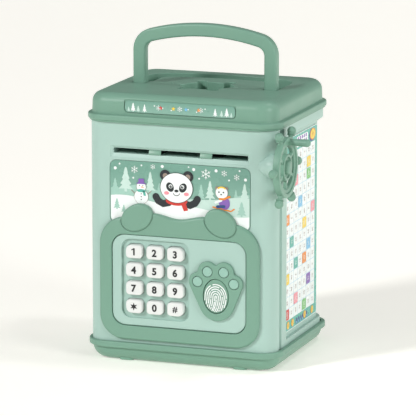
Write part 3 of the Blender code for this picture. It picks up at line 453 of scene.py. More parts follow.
def makeStage():
    # a floor that curves up into a wall far behind
    half, bend, drop = floorLook["half"], floorLook["bendAt"], floorLook["drop"]
    profile = [(-half, 0.0)] + [(bend + s, 1.0 - c) for s, c in quarter(10)]
    profile.append((bend + 1.0, floorLook["wallTop"]))
    bm = bmesh.new()
    rows = [[bm.verts.new((x, y, z - drop)) for x in (-half, half)] for y, z in profile]
    for a, b in zip(rows, rows[1:]):
        bm.faces.new((a[0], a[1], b[1], b[0]))
    floor = finishMesh("studioFloor", bm)
    material, tree, shader, coord = startMaterial("paleFloor")
    soft = addNoise(tree, coord, 3.0, 3.0)
    tint = addTint(tree, addRange(tree, soft, "Fac", 0, 1), *floorLook["tints"])
    split = tree.nodes.new("ShaderNodeSeparateXYZ")
    link(tree, coord, "Object", split, "Vector")
    rise = addRange(tree, split, "Z", 0.0, 1.0, *floorLook["darkens"])
    fade = addTint(tree, rise, (1, 1, 1), floorLook["darkWall"])
    tree.links.new(tint.outputs[2], fade.inputs[6])
    tree.links.new(fade.outputs[2], shader.inputs["Base Color"])
    glow = addRange(tree, split, "Y", *floorLook["glow"], *floorLook["glowSpan"])
    dim = tree.nodes.new("ShaderNodeMath")
    dim.operation = "MULTIPLY"
    link(tree, glow, "Result", dim, 0)
    link(tree, addRange(tree, rise, "Result", 1.0, 0.0, 0.0, 1.0), "Result", dim, 1)
    link(tree, dim, "Value", shader, "Emission Strength")
    shader.inputs["Roughness"].default_value = 0.9
    shader.inputs["Specular IOR Level"].default_value = 0.1
    shader.inputs["Emission Color"].default_value = floorLook["glowColour"]
    floor.data.materials.append(material)


def placeAt(name, data, spot, aim):
    # puts a light or a camera at a spot, turned to what it aims at
    obj = bpy.data.objects.new(name, data)
    obj.location = spot
    obj.rotation_euler = (Vector(aim) - Vector(spot)).to_track_quat("-Z", "Y").to_euler()
    bpy.context.scene.collection.objects.link(obj)
    return obj


def makeStudio():
    scene = bpy.context.scene
    scene.view_settings.view_transform = "Standard"
    world = bpy.data.worlds.new("softRoom")
    world.use_nodes = True
    back = world.node_tree.nodes["Background"]
    back.inputs["Color"].default_value = (1.0, 1.0, 1.0, 1)
    back.inputs["Strength"].default_value = roomLight
    scene.world = world
    for name, (spot, height, size, power) in lights.items():
        light = bpy.data.lights.new(name, "AREA")
        light.shape = "DISK"
        light.size = size
        light.energy = power
        placeAt(name, light, spot, (0, 0, height))
    camera = bpy.data.cameras.new("photoCamera")
    camera.lens = cameraLook["lens"]
    camera.sensor_width = 36.0
    camera.clip_end = 20.0
    scene.camera = placeAt("photoCamera", camera, cameraLook["place"], cameraLook["aim"])


makeStage()
makeStudio()
print("stage ready")


# sizes that several pieces share, in millimetres
casing = {
    "rimHalfX": 65.0,
    "rimHalfY": 56.0,
    "rimCorner": 15.0,
    "sideX": 62.1,
    "frontY": -53.2,
    "panelX": 60.0,  # side panels of the rear half
    "panelY": 49.9,
    "frontCorner": 10.0,
    "rearCorner": 12.0,
    "wall": 2.4,
    "splitY": -42.0,
    "stripY": -37.0,
    "stripWide": 9.5,
    "flange": 2.1,  # reach of the rear half's lower flange
    "low": 12.1,
    "high": 153.6,
}
lidLow = 153.9
lidTop = 172.0
doorHinge = (-55.4, -45.6)  # x and y
handleHinge = (-5.05, 168.2)  # y and z
helmAxis = (-50.2, 131.6)  # y and z
screwBore = 1.7
postSpots = [(side * x, y) for side in (-1, 1) for x, y in ((52.5, -44.5), (50.0, 39.9))]
cornerSteps = 12


def rimOutline(d):
    # plan of the base and lid, drawn in by d
    x = casing["rimHalfX"] - d
    y = casing["rimHalfY"] - d
    return rounded(-x, -y, x, y, max(casing["rimCorner"] - d, 3.0), cornerSteps)


def flared(name, axis, outline, deep, rim, out, lip, steps=4):
    # a cutter whose mouth, from rim outwards to out, is rounded by lip
    way = 1 if out > deep else -1
    sections = [(deep, outline)]
    for i, (s, c) in enumerate(quarter(steps)):
        sections.append((rim - way * lip * (1 - s), inset(outline, -lip * (1 - c)) if i else outline))
    sections.append((out, inset(outline, -lip)))
    return stack(name, axis, sections)


base = {
    "rimHeight": 13.0,
    "rimBand": 4.2,
    "lip": 0.7,
    "floor": 4.4,
    "tuckIn": 11.4,  # flat underside, in from the rim
    "bandStep": 2.4,
    "wallIn": 5.4,  # inside of the wall, in from the rim
    "seat": 11.8,  # the casing halves stand on it
    "footX": 38.1,
    "footY": 46.5,
    "footHeight": 2.6,
}
battery = {
    "x": 27.0,
    "halfX": 22.8,  # the door
    "halfY": 27.0,
    "thick": 2.5,
    "slack": 0.3,
    "wall": 1.8,
    "wallTop": 19.5,
    "tabHalfX": 11.0,
    "tabLow": 24.0,
    "tabHigh": 35.5,
    "screwY": 31.4,
    "grips": 5,
    "gripPitch": 7.0,
}


def makeTray():
    step, top, floor, inside = base["bandStep"], base["rimHeight"], base["floor"], base["wallIn"]
    bandLow = top - base["rimBand"]
    sections = [(bandLow * (1 - c), step + (base["tuckIn"] - step) * (1 - s)) for s, c in quarter(10)]
    sections += edgeSteps(bandLow + 0.25, top, base["lip"], base["lip"])
    tray = stack("baseTray", "Z", [(z, rimOutline(d)) for z, d in sections])
    hollow = ((floor, inside + 1.0), (floor + 1.2, inside), (top + 1, inside))
    cut(tray, stack("hollow", "Z", [(z, rimOutline(d)) for z, d in hollow]))
    side, rear = casing["sideX"] + gap, casing["panelY"] + casing["flange"] + gap
    ledge = rounded(-side, casing["frontY"] - gap, side, rear, casing["frontCorner"] + gap, cornerSteps)
    cut(tray, plate("ledge", "Z", ledge, base["seat"], top + 1))
    midX, screwY, wall, slack = battery["x"], battery["screwY"], battery["wall"], battery["slack"]
    halfX, halfY = battery["halfX"] + slack, battery["halfY"] + slack
    walls = rect(midX - halfX - wall, -halfY - wall, midX + halfX + wall, halfY + wall)
    boss = rod("boss", "Z", midX, screwY, 4.0, floor - 1, floor + 6)
    add(tray, plate("walls", "Z", walls, floor - 1, battery["wallTop"]), boss)
    tabX, tabHigh = battery["tabHalfX"] + slack, battery["tabHigh"] + slack
    tools = [
        plate("room", "Z", rect(midX - halfX, -halfY, midX + halfX, halfY), -1, 21),
        plate("tabRoom", "Z", rect(midX - tabX, battery["tabLow"], midX + tabX, tabHigh), -1, 2.8),
        rod("screwHole", "Z", midX, screwY, screwBore, 1, 8.4),
    ]
    for x in (-base["footX"], base["footX"]):
        for y in (-base["footY"], base["footY"]):
            tools.append(plate("pocket", "Z", roundedAt(x, y, 5.3, 3.8, 3.0), -1, 2.9))
    for x, y in postSpots:
        bore = ((-1, 3.1), (2.3, 3.1), (2.3, screwBore), (7.4, screwBore))
        tools.append(turned("bore", "Z", x, y, bore, 28))
    cut(tray, *tools)
    give(smooth(tray), "casing", darkPlastic, "base_tray")


def makeFeet():
    for end, wayY in (("Front", -1), ("Rear", 1)):
        for side, wayX in (("Left", -1), ("Right", 1)):
            outline = roundedAt(wayX * base["footX"], wayY * base["footY"], 5, 3.5, 2.9)
            foot = softPlate("baseFoot" + end + side, "Z", outline, 0, base["footHeight"], 0.7, 0.2)
            give(foot, "casing", darkPlastic, f"foot_{end}_{side}".lower())


def makeBatteryDoor():
    midX, halfX, halfY, thick = battery["x"], battery["halfX"], battery["halfY"], battery["thick"]
    hatch = plate("batteryDoor", "Z", rect(midX - halfX, -halfY, midX + halfX, halfY), 0, thick)
    tab = rect(midX - battery["tabHalfX"], battery["tabLow"], midX + battery["tabHalfX"], battery["tabHigh"])
    add(hatch, plate("tab", "Z", tab, 0, thick))
    soften(hatch, 0.3, 2)
    way = ((-1, 2.7), (1.2, 2.7), (1.2, screwBore), (3.5, screwBore))
    cut(hatch, turned("way", "Z", midX, battery["screwY"], way, 28))
    grips = []
    for i in range(battery["grips"]):
        y = battery["gripPitch"] * (i - (battery["grips"] - 1) / 2)
        grips.append(box("grip", midX - 18, midX + 18, y - 0.5, y + 0.5, -1, 0.35))
    cut(hatch, *grips)
    give(smooth(hatch), "casing", darkPlastic, "battery_door")


makeTray()
makeFeet()
makeBatteryDoor()
print("base made")


def uOutline(x, y, r, innerX, innerY, innerR, openY):
    # a U in plan, closed at y and open at openY: outer line, then inner line back
    way = 1 if y > openY else -1
    outer = arc(x - r, 0, r, 0, 90, cornerSteps)
    inner = arc(innerX - innerR, 0, innerR, 0, 90, cornerSteps)
    half = [(x, openY)] + [(px, y - way * (r - py)) for px, py in outer]
    halfIn = [(innerX, openY)] + [(px, innerY - way * (innerR - py)) for px, py in inner]
    left = [(-px, py) for px, py in half]
    leftIn = [(-px, py) for px, py in halfIn]
    return half + left[::-1] + leftIn + halfIn[::-1]


slot = {"halfWide": 44.75, "low": 134.2, "high": 137.5, "corner": 0.6, "fingerX": 17.0, "fingerWide": 8.0}
sticker = {"halfWide": 46.6, "low": 89.6, "high": 129.8, "corner": 4.2, "front": -53.1, "thick": 0.3}
doorway = {"left": -50.5, "right": 48.0, "low": 20.0, "high": 87.5, "corner": 5.0}
post = {"radius": 3.5, "low": 4.7, "high": 19.5, "ribLow": 12.5, "ribHigh": 18.0, "ribThick": 1.8}
lug = {"radius": 3.9, "high": 4.5, "feet": (23.2, 80.3), "pinBore": 1.3}


def posts(spots, wallX):
    made = []
    for x, y in spots:
        reach = wallX if x > 0 else -wallX
        made.append(rod("post", "Z", x, y, post["radius"], post["low"], post["high"], 28))
        half = post["ribThick"] / 2
        xs = sorted((x, reach))
        made.append(box("rib", *xs, y - half, y + half, post["ribLow"], post["ribHigh"]))
    return made


def postBores(spots):
    return [rod("postBore", "Z", x, y, screwBore, 1, 14.6, 24) for x, y in spots]


def makeFrontCasing():
    x, y, r, wall = casing["sideX"], casing["frontY"], casing["frontCorner"], casing["wall"]
    outline = uOutline(x, y, r, x - wall, y + wall, r - wall, casing["splitY"])
    shell = plate("frontCasing", "Z", outline, casing["low"], casing["high"])
    spots = [spot for spot in postSpots if spot[1] < 0]
    lugs = [rod("lug", "Z", *doorHinge, lug["radius"], z, z + lug["high"]) for z in lug["feet"]]
    boss = [(51.1, 3.0), (55.9, 5.6), (58.6, 7.3), (62.2, 7.3)]
    boss += [(63.0, 7.1), (63.6, 6.8), (64.4, 6.2), (65.0, 5.3)]
    block = box("shaftBlock", 49.1, 58.1, -52.0, -46.0, 127.1, 136.1)
    add(shell, *lugs, *posts(spots, 60.9), turned("wheelBoss", "X", *helmAxis, boss, 56), block)
    hole = rounded(doorway["left"], doorway["low"], doorway["right"], doorway["high"], doorway["corner"])
    wide, low, high, corner = slot["halfWide"], slot["low"], slot["high"], slot["corner"]
    opening = rounded(-wide, low, wide, high, corner, 3)
    lead = rounded(-wide - 1.8, low - 2.65, wide + 1.8, high + 1.55, 1.0, 3)  # the mouth slopes in from here
    narrow = rounded(-wide - 0.1, low - 0.15, wide + 0.1, high + 0.15, corner, 3)
    half = sticker["halfWide"] + gap
    sunk = rounded(-half, sticker["low"] - gap, half, sticker["high"] + gap, 4.5)
    cut(
        shell,
        rod("shaftBore", "X", *helmAxis, 1.8, 50.6, 70.1),
        flared("doorOpening", "Y", hole, y + wall + 2, y, y - 2, 0.5),
        plate("noteSlot", "Y", opening, y - 2, y + wall + 2),
        stack("slotLeadIn", "Y", [(y - 1, lead), (y, lead), (y + 0.25, inset(lead, 0.3)), (y + 1.3, narrow)]),
        flared("stickerSink", "Y", sunk, y + 0.7, y, y - 1, 0.2, 2),
        rod("pinWay", "Z", *doorHinge, lug["pinBore"], 22.2, 85.8),
        *postBores(spots),
    )
    give(smooth(shell), "casing", lightPlastic, "front_shell")
    for side, way in (("Left", -1), ("Right", 1)):
        start = way * slot["fingerX"] - slot["fingerWide"] / 2
        lean = ribbon([(-52.2, low + 0.55), (-51.3, high - 0.55)], 0.9, 6)
        finger = softPlate("noteFinger" + side, "X", lean, start, start + slot["fingerWide"], 0.2, 0.2)
        give(finger, "casing", darkPlastic, "note_finger_" + side.lower())


def flangeOutline(grow):
    x, y, r, wall = casing["panelX"], casing["panelY"], casing["rearCorner"], casing["wall"]
    inner = (x - wall / 2, y - wall / 2, r - wall / 2)
    return uOutline(x + grow, y + grow, r + grow / 2, *inner, casing["stripY"] + 0.1)


grille = {"x": -32, "z": 112, "ring": 6.0, "hole": 1.5}  # the speaker's holes


def makeRearCasing():
    x, y, r, wall = casing["panelX"], casing["panelY"], casing["rearCorner"], casing["wall"]
    low, high = casing["low"], casing["high"]
    outline = uOutline(x, y, r, x - wall, y - wall, r - wall, casing["splitY"] + gap)
    shell = plate("rearCasing", "Z", outline, low, high)
    strips = []
    for way in (-1, 1):
        xs = sorted((way * (x - 1), way * casing["sideX"]))
        strip = box("strip", *xs, casing["stripY"], casing["stripY"] + casing["stripWide"], low, high)
        strips.append(soften(strip, 0.5, 3))
    reach = casing["flange"]
    lowSteps = ((0, reach), (4.1, reach), (4.45, reach - 0.15), (4.6, reach - 0.5))  # height, reach
    topSteps = ((-8.4, -0.3), (-6.0, 2.95), (-5.6, 3.25), (-5.2, 3.3), (0, 3.3))
    lowFlange = stack("lowFlange", "Z", [(low + h, flangeOutline(out)) for h, out in lowSteps])
    topFlange = stack("topFlange", "Z", [(high + h, flangeOutline(out)) for h, out in topSteps])
    spots = [spot for spot in postSpots if spot[1] > 0]
    add(shell, *strips, lowFlange, topFlange, *posts(spots, x - wall / 2))
    gx, gz = grille["x"], grille["z"]
    spread = circle(0, 0, grille["ring"], 6) + [(0, 0)]
    holes = [circle(gx + u, gz + v, grille["hole"], 24) for u, v in spread]
    mouths = [flared("mouth", "Y", hole, y - wall - 1, y, y + 2, 0.3, 3) for hole in holes]
    cut(shell, *postBores(spots), *mouths)
    give(smooth(shell), "casing", lightPlastic, "rear_shell")


makeFrontCasing()
makeRearCasing()
print("casing made")


lid = {
    "shoulderRound": 6.5,
    "shoulderIn": 6.7,
    "channelGap": 0.5,
    "islandSink": 1.0,
    "coinSink": 6.5,
    "coinMidY": -2.0,
    "under": 2.3,  # plastic below the channel and the coin recess
}
handle = {
    "halfWide": 48.2,
    "band": 8.3,
    "thick": 7.0,
    "rise": 43.6,
    "corner": 14.0,
    "crown": 144.0,
    "edge": 1.5,
    "pinBore": 1.9,
}


def arch(offset, low):
    # the handle's outer line moved out by offset, from foot to foot; (x, height)
    cornerX = handle["halfWide"] - handle["corner"]
    crownMid = handle["rise"] - handle["crown"]
    reach = handle["crown"] - handle["corner"]
    cornerZ = crownMid + math.sqrt(reach * reach - cornerX * cornerX)
    turn = math.degrees(math.atan2(cornerZ - crownMid, cornerX))
    right = arc(cornerX, cornerZ, handle["corner"] + offset, 0, turn, 16)
    crown = arc(0, crownMid, handle["crown"] + offset, turn, 90, 10)[1:]
    return mirrored([(handle["halfWide"] + offset, low)] + right + crown)


def channelPlan(outer, inner, low):
    band = arch(outer, low) + list(reversed(arch(inner, low)))
    return [(x, handleHinge[0] + s) for x, s in band]


def lobed(midY, reach, lobeR, bodyR):
    # a round body with six round-ended arms
    points = []
    half = math.degrees(math.asin(lobeR / bodyR))
    for i in range(6):
        a = 60 * i
        turn = math.radians(a)
        points += arc(reach * math.cos(turn), reach * math.sin(turn), lobeR, a - 90, a + 90, 14)
        points += arc(0, 0, bodyR, a + half, a + 60 - half, 8)
    return [(x, y + midY) for x, y in points]


def makeLid():
    sections = [(0, 1.2), (0.15, 1.0), (0.8, 1.0)] + edgeSteps(1.1, 4.7, 0.7, 0.9)
    sections = [(lidLow + z, d) for z, d in sections + [(4.75, 1.6), (4.85, 2.3), (5.2, 2.65)]]
    bend = lid["shoulderRound"]
    sections += [(lidTop - bend + bend * s, 2.9 + lid["shoulderIn"] * (1 - c)) for s, c in quarter(12)]
    cover = stack("lidCover", "Z", [(h, rimOutline(d)) for h, d in sections])
    under = ((lidLow - 2, 5.3), (lidLow + 11.6, 5.5), (lidTop - 4.0, 6.9), (lidTop - lid["under"], 10.4))
    hollow = stack("lidHollow", "Z", [(h, rimOutline(d)) for h, d in under])
    hingeY, hingeZ = handleHinge
    floorZ = hingeZ - handle["thick"] / 2 - 0.45
    coinZ = lidTop - lid["coinSink"]
    midY = lid["coinMidY"]
    keep = channelPlan(2.8, -handle["band"] - 2.8, -6.55)
    cut(
        hollow,
        plate("channelKeep", "Z", keep, floorZ - lid["under"], lidTop),
        rod("coinKeep", "Z", 0, midY, 25.3, coinZ - lid["under"], lidTop),
    )
    cut(cover, hollow)
    channel = channelPlan(lid["channelGap"], -handle["band"] - lid["channelGap"], -4.25)
    island = [(x, hingeY + s) for x, s in arch(-handle["band"] - 0.2, 4.0)]
    islandTop = lidTop - lid["islandSink"]
    cut(
        cover,
        flared("channel", "Z", channel, floorZ, lidTop, lidTop + 3, 0.6),
        plate("islandSink", "Z", island, islandTop, lidTop + 3),
    )
    lobes = lobed(midY, 19.75, 3.25, 17.0)
    labelRoom = rounded(-37, lidLow + 6.4, 37, lidLow + 16.9, 3.0)
    mouth = rounded(-1.8, midY - 15, 1.8, midY + 15, 0.9, 5)
    cut(
        cover,
        flared("coinRecess", "Z", lobes, coinZ, islandTop, lidTop + 3, 0.7),
        flared("coinSlot", "Z", mouth, coinZ - 3.3, coinZ, coinZ + 1, 0.5),
        flared("labelSink", "Y", labelRoom, -52.2, -53.1, -60, 0.25, 3),
    )
    ends = [sorted((way * 36.4, way * 51.4)) for way in (-1, 1)]
    cut(cover, *[rod("pinBore", "X", hingeY, hingeZ, handle["pinBore"], *end) for end in ends])
    give(smooth(cover), "casing", darkPlastic, "lid_cover")


makeLid()
print("lid made")


def makeHandle():
    # one rounded section swept along the arch, with an eye at each foot
    half, band, edge = handle["thick"] / 2, handle["band"], handle["edge"]
    hingeY, hingeZ = handleHinge
    midLine = arch(-band / 2, 0)
    last = len(midLine) - 1
    section = rounded(-band / 2, -half, band / 2, half, edge, 6)
    bm = bmesh.new()
    rings = []
    for i, (x, z) in enumerate(midLine):
        along = (Vector(midLine[min(i + 1, last)]) - Vector(midLine[max(i - 1, 0)])).normalized()
        out = Vector((along.y, -along.x))
        if i in (0, last):
            out = Vector((math.copysign(1, x), 0))
        spots = [(x + out.x * u, hingeY + v, hingeZ + z + out.y * u) for u, v in section]
        rings.append([bm.verts.new(Vector(spot) * mm) for spot in spots])
    bridge(bm, rings)
    grip = finishMesh("carryHandle", bm)
    eyes, holes = [], []
    for x in (midLine[last][0], midLine[0][0]):
        a, b = x - band / 2, x + band / 2
        profile = [(h, half - d) for h, d in edgeSteps(a, b, edge, edge, 6)]
        eyes.append(turned("eye", "X", hingeY, hingeZ, profile, 48))
        holes.append(rod("hole", "X", hingeY, hingeZ, handle["pinBore"], a - 2, b + 2))
    add(grip, *eyes)
    cut(grip, *holes)
    give(smooth(grip), "handle", darkPlastic, "carry_handle")


makeHandle()
print("handle made")


helm = {  # a small ship's helm
    "x": 66.3,  # inner face
    "thick": 4.4,
    "radius": 19.0,
    "stepRadius": 16.3,
    "innerRadius": 13.5,
    "stepDepth": 0.8,
    "hubRadius": 8.4,
    "spokes": 6,
    "knobAt": 24.2,
    "knobRadius": 2.8,
    "crankAt": 15.8,
    "crankAngle": 77,
    "crankLong": 12.8,
}


def makeHelm():
    y, z = helmAxis
    x0, x1 = helm["x"], helm["x"] + helm["thick"]
    step, outer, mid, inner = helm["stepDepth"], helm["radius"], helm["stepRadius"], helm["innerRadius"]
    side = [(0.6, outer), (0.2, outer - 0.18), (0, outer - 0.6), (0, mid + 0.25), (0.12, mid + 0.06)]
    side += [(step, mid - 0.1), (step, inner + 0.5), (step + 0.4, inner)]
    profile = [(x0 + h, r) for h, r in reversed(side)] + [(x1 - h, r) for h, r in side]
    bm = bmesh.new()
    rings = []
    for u, v in circle(0, 0, 1, 96):
        rings.append([bm.verts.new(Vector((h, y + r * u, z + r * v)) * mm) for h, r in profile])
    bridge(bm, rings, True)
    wheel = finishMesh("helmWheel", bm)
    lumps = []
    centre = Matrix.Translation(Vector((0, y, z)) * mm)
    middle = Matrix.Translation(Vector(((x0 + x1) / 2, y, z)) * mm)
    for i in range(helm["spokes"] // 2):
        reach = inner + 0.8
        spoke = softPlate("spoke", "X", rect(-reach, -1.05, reach, 1.05), x0 + 1.0, x1 - 1.2, 0.4, 0.4, 3)
        spoke.data.transform(centre @ Matrix.Rotation(math.radians(60 * i + 30), 4, "X"))
        lumps.append(spoke)
    hubRadius = helm["hubRadius"]
    hub = [(x0, hubRadius - 0.5), (x0 + 0.5, hubRadius)]
    hub += shifted(x1, (-0.9, hubRadius), (-0.55, hubRadius - 0.15), (-0.4, hubRadius - 0.5))
    hub += shifted(x1, (-0.4, 6.9), (-0.55, 6.6), (-1.5, 6.4), (-1.6, 6.2), (-1.6, 4.7), (-1.5, 4.5))
    hub += shifted(x1, (-0.2, 4.35), (0.5, 4.2), (0.95, 3.7), (1.15, 2.8), (1.2, 1.5))
    lumps.append(turned("hub", "X", y, z, hub, 56))
    ball, radius = helm["knobAt"], helm["knobRadius"]
    shape = shifted(outer, (-1, 1.7), (0.2, 1.75), (0.6, 1.45))
    shape += shifted(ball, (-3.1, 1.4), (-2.9, 2.2), (-2.6, 2.5), (-2.3, 2.5), (-2.1, 2.25), (-2.0, 1.95))
    shape += [(ball + radius * v, radius * u) for u, v in arc(0, 0, 1, -40, 80, 8)]
    for i in range(helm["spokes"]):
        knob = turned("knob", "Z", 0, 0, shape, 28)
        knob.data.transform(middle @ Matrix.Rotation(math.radians(60 * i - 90), 4, "X"))
        lumps.append(knob)
    angle = math.radians(helm["crankAngle"])
    crankSpot = (y + helm["crankAt"] * math.cos(angle), z + helm["crankAt"] * math.sin(angle))
    tip = x1 + helm["crankLong"]
    crank = [(x0 + 1.5, 2.2)] + shifted(x1, (0.2, 2.2), (0.9, 2.0), (1.6, 2.1))
    crank += shifted(tip, (-2.2, 2.4), (-1.3, 2.3), (-0.6, 1.9), (-0.2, 1.3), (0, 0.5))
    lumps.append(turned("crank", "X", *crankSpot, crank, 32))
    add(wheel, *lumps)
    cut(wheel, rod("bore", "X", y, z, 1.8, x0 - 1, x0 + 3.3))
    give(smooth(wheel), "wheel", darkPlastic, "helm_wheel")


makeHelm()
print("helm made")


# door frame with its two ears
door = {
    "halfWide": 53.4,
    "low": 15.0,
    "high": 94.2,
    "lowCorner": 16.0,
    "topCorner": 18.0,
    "front": -56.0,
    "back": -53.5,
    "edge": 1.9,
    "crestHalf": 17.0,
    "crestRise": 2.7,
}
ears = {
    "x": 27.8,
    "z": 94.3,
    "long": 11.0,
    "short": 8.3,
    "tilt": 28,
    "front": -56.8,
    "edge": 1.3,
    "groove": 0.45,
}
panel = {"halfWide": 44.7, "low": 24.5, "high": 82.9, "corner": 8.5, "front": -55.2, "back": -51.0}


def doorOutline():
    low, high, half = door["low"], door["high"], door["halfWide"]
    lowCorner, topCorner = door["lowCorner"], door["topCorner"]
    right = arc(half - lowCorner, low + lowCorner, lowCorner, 270, 360, 18)
    right += arc(half - topCorner, high - topCorner, topCorner, 0, 90, 18)
    crest, rise = door["crestHalf"], door["crestRise"]
    for i in range(17):
        x = crest * (1 - i / 16)
        right.append((x, high + 0.6 + rise * (1 - math.cos(math.pi * x / crest)) / 2))
    return mirrored(right)


def earOutline(way, grow):
    tilt = math.radians(-way * ears["tilt"])
    return oval(way * ears["x"], ears["z"], ears["long"] + grow, ears["short"] + grow, 72, tilt)


def makeDoorFrame():
    front, back = door["front"], door["back"]
    frameBody = softPlate("doorFrame", "Y", doorOutline(), front, back, door["edge"], 0.2, 6)
    lumps = []
    for way in (-1, 1):
        lumps.append(softPlate("ear", "Y", earOutline(way, 0), ears["front"], back - 0.2, ears["edge"], 0, 6))
    add(frameBody, *lumps)
    half = panel["halfWide"] + gap
    hole = rounded(-half, panel["low"] - gap, half, panel["high"] + gap, panel["corner"] + gap, 14)
    tools = [flared("panelHole", "Y", hole, back + 3, front, front - 3, 0.6, 5)]
    for way in (-1, 1):
        # a fine groove round each ear
        ring = plate("ring", "Y", earOutline(way, ears["groove"]), -57.5, front + 0.4)
        core = plate("core", "Y", earOutline(way, -0.1), -58, front + 1)
        tools.append(cut(ring, core))
    cut(frameBody, *tools)
    give(smooth(frameBody, 45), "door", darkPlastic, "door_frame")


makeDoorFrame()
print("door frame made")


# door panel, keys, paw plate
keypad = {
    "midX": -15.8,
    "midZ": 54.8,
    "pitchX": 13.85,
    "pitchZ": 11.8,
    "sink": 1.8,
    "edge": 3.3,
    "front": -57.0,
    "wide": 11.0,
    "high": 8.8,
    "corner": 2.5,
    "outerCorner": 3.9,  # the corner of the pad that a corner key fills
    "round": 1.2,  # how far the rounded rim goes back
    "dish": 0.95,  # how far it goes in
}
paw = {
    "front": -57.3,
    "back": -55.5,
    "x": 25.3,
    "toes": ((-12.2, 56.6), (-5.6, 63.3), (5.2, 63.5), (11.9, 56.5)),
    "toeRadius": 3.15,
    "lobe": 5.9,
    "heelZ": 43.8,
    "heelRadius": 11.7,
    "padZ": 47.9,
    "padHalfX": 8.3,
    "padHalfZ": 10.85,
    "padFront": -56.8,
    "toeFront": -57.05,
    "toeDome": 0.55,
}
keyNames = ("1", "2", "3", "4", "5", "6", "7", "8", "9", "star", "0", "hash")


def keySpots():
    for row in range(4):
        for column in range(3):
            x = keypad["midX"] + (column - 1) * keypad["pitchX"]
            yield x, keypad["midZ"] + (1.5 - row) * keypad["pitchZ"], column, row


def padOutline(slack):
    return oval(paw["x"], paw["padZ"], paw["padHalfX"] + slack, paw["padHalfZ"] + slack, 72)


def keyOutline(x, z, column, row, grow=0.0):
    # each key is a rounded box; the pad's four corner keys have one rounder corner
    w = keypad["wide"] / 2 + grow
    h = keypad["high"] / 2 + grow
    points = []
    for sx, sz, start in ((1, 1, 0), (-1, 1, 90), (-1, -1, 180), (1, -1, 270)):
        outer = column == 1 + sx and row == (0 if sz > 0 else 3)
        r = (keypad["outerCorner"] if outer else keypad["corner"]) + grow
        points += arc(x + sx * (w - r), z + sz * (h - r), r, start, start + 90, 7)
    return points


def makeDoorPanel():
    front, back = panel["front"], panel["back"]
    half = panel["halfWide"]
    face = rounded(-half, panel["low"], half, panel["high"], panel["corner"], 14)
    plateBody = softPlate("doorPanel", "Y", face, front, back - 0.8, 0.8, 0, 5)
    behind = rounded(-45.4, 21.3, 46.7, 86.2, 5.0, 10)
    add(plateBody, plate("flange", "Y", behind, casing["frontY"], back))
    across = keypad["pitchX"] + keypad["wide"] / 2 + keypad["edge"]
    up = 1.5 * keypad["pitchZ"] + keypad["high"] / 2 + keypad["edge"]
    sunk = roundedAt(keypad["midX"], keypad["midZ"], across, up, 6.0, 12)
    sinkY = front + keypad["sink"]
    cut(plateBody, flared("keypadSink", "Y", sunk, sinkY, front, front - 2, 0.3, 4))
    tools = []
    for spot in keySpots():
        tools.append(flared("keyHole", "Y", keyOutline(*spot, gap), back + 2, sinkY, sinkY - 1.5, 0.2, 3))
    for x, z in paw["toes"]:
        tools.append(rod("toeHole", "Y", paw["x"] + x, z, paw["toeRadius"] + gap, front - 3, back + 2))
    tools.append(plate("padHole", "Y", padOutline(gap), front - 3, back + 2))
    cut(plateBody, *tools)
    give(smooth(plateBody), "door", lightPlastic, "door_panel")


def polarUnion(cx, cz, circles, sides=200, blur=3):
    # outline round a cluster of circles seen from (cx, cz), its hollows eased
    reach = []
    for i in range(sides):
        a = 2 * math.pi * i / sides
        best = 0.0
        for x, z, r in circles:
            along = (x - cx) * math.cos(a) + (z - cz) * math.sin(a)
            root = r * r - (x - cx) ** 2 - (z - cz) ** 2 + along * along
            if root > 0:
                best = max(best, along + math.sqrt(root))
        reach.append(best)
    for _ in range(blur):
        reach = [(reach[i - 1] + 2 * reach[i] + reach[(i + 1) % sides]) / 4 for i in range(sides)]
    return [
        (cx + r * math.cos(2 * math.pi * i / sides), cz + r * math.sin(2 * math.pi * i / sides))
        for i, r in enumerate(reach)
    ]


def makePawPlate():
    front, back = paw["front"], paw["back"]
    toes = []
    for i, (x, z) in enumerate(paw["toes"]):
        toes.append((paw["x"] + x, z, paw["lobe"] + (0.6 if i in (1, 2) else 0.0)))
    heel = (paw["x"] + 0.4, paw["heelZ"], paw["heelRadius"])
    circles = toes + [heel]
    for end in (toes[0], toes[3]):
        for i in range(1, 16):
            circles.append(tuple(a + (b - a) * (i / 16) for a, b in zip(end, heel)))
    outline = polarUnion(paw["x"] + 0.1, 50.8, circles)
    pawBody = softPlate("pawPlate", "Y", outline, front, back, 0.7, 0.1, 5)
    tools = []
    for x, z in paw["toes"]:
        ring = circle(paw["x"] + x, z, paw["toeRadius"] + gap, 48)
        tools.append(flared("toeHole", "Y", ring, back + 2, front, front - 2, 0.25, 3))
    tools.append(flared("padHole", "Y", padOutline(gap), back + 2, front, front - 2, 0.45, 4))
    cut(pawBody, *tools)
    give(smooth(pawBody), "door", darkPlastic, "paw_plate")


def makeToes():
    # four light studs on an arched bar behind the panel
    front, radius = paw["toeFront"], paw["toeRadius"]
    profile = [(-50.0, radius), (front, radius)]
    for degrees in (15, 35, 55, 70, 82):
        a = math.radians(degrees)
        profile.append((front - paw["toeDome"] * math.sin(a), radius * (0.25 + 0.75 * math.cos(a))))
    spots = [(paw["x"] + x, z) for x, z in paw["toes"]]
    studs = [turned("stud", "Y", x, z, profile, 40) for x, z in spots]
    above = [(x, z + 4.2) for x, z in spots]
    under = arc(paw["x"], paw["padZ"], paw["padHalfZ"] + 2.2, 30, 150, 20)
    first, last = spots[0][0], spots[3][0]
    left = [(first - 3.4, 57.1), (first - 1.5, 53.1)]
    right = [(last + 1.5, 53.1), (last + 3.4, 57.1)]
    bar = plate("toeLights", "Y", above[::-1] + left + under[::-1] + right, -50.7, -49.3)
    add(bar, *studs)
    give(smooth(bar), "door", toePlastic, "toe_light_guide")


makeDoorPanel()
makePawPlate()
makeToes()
print("door panel and paw made")


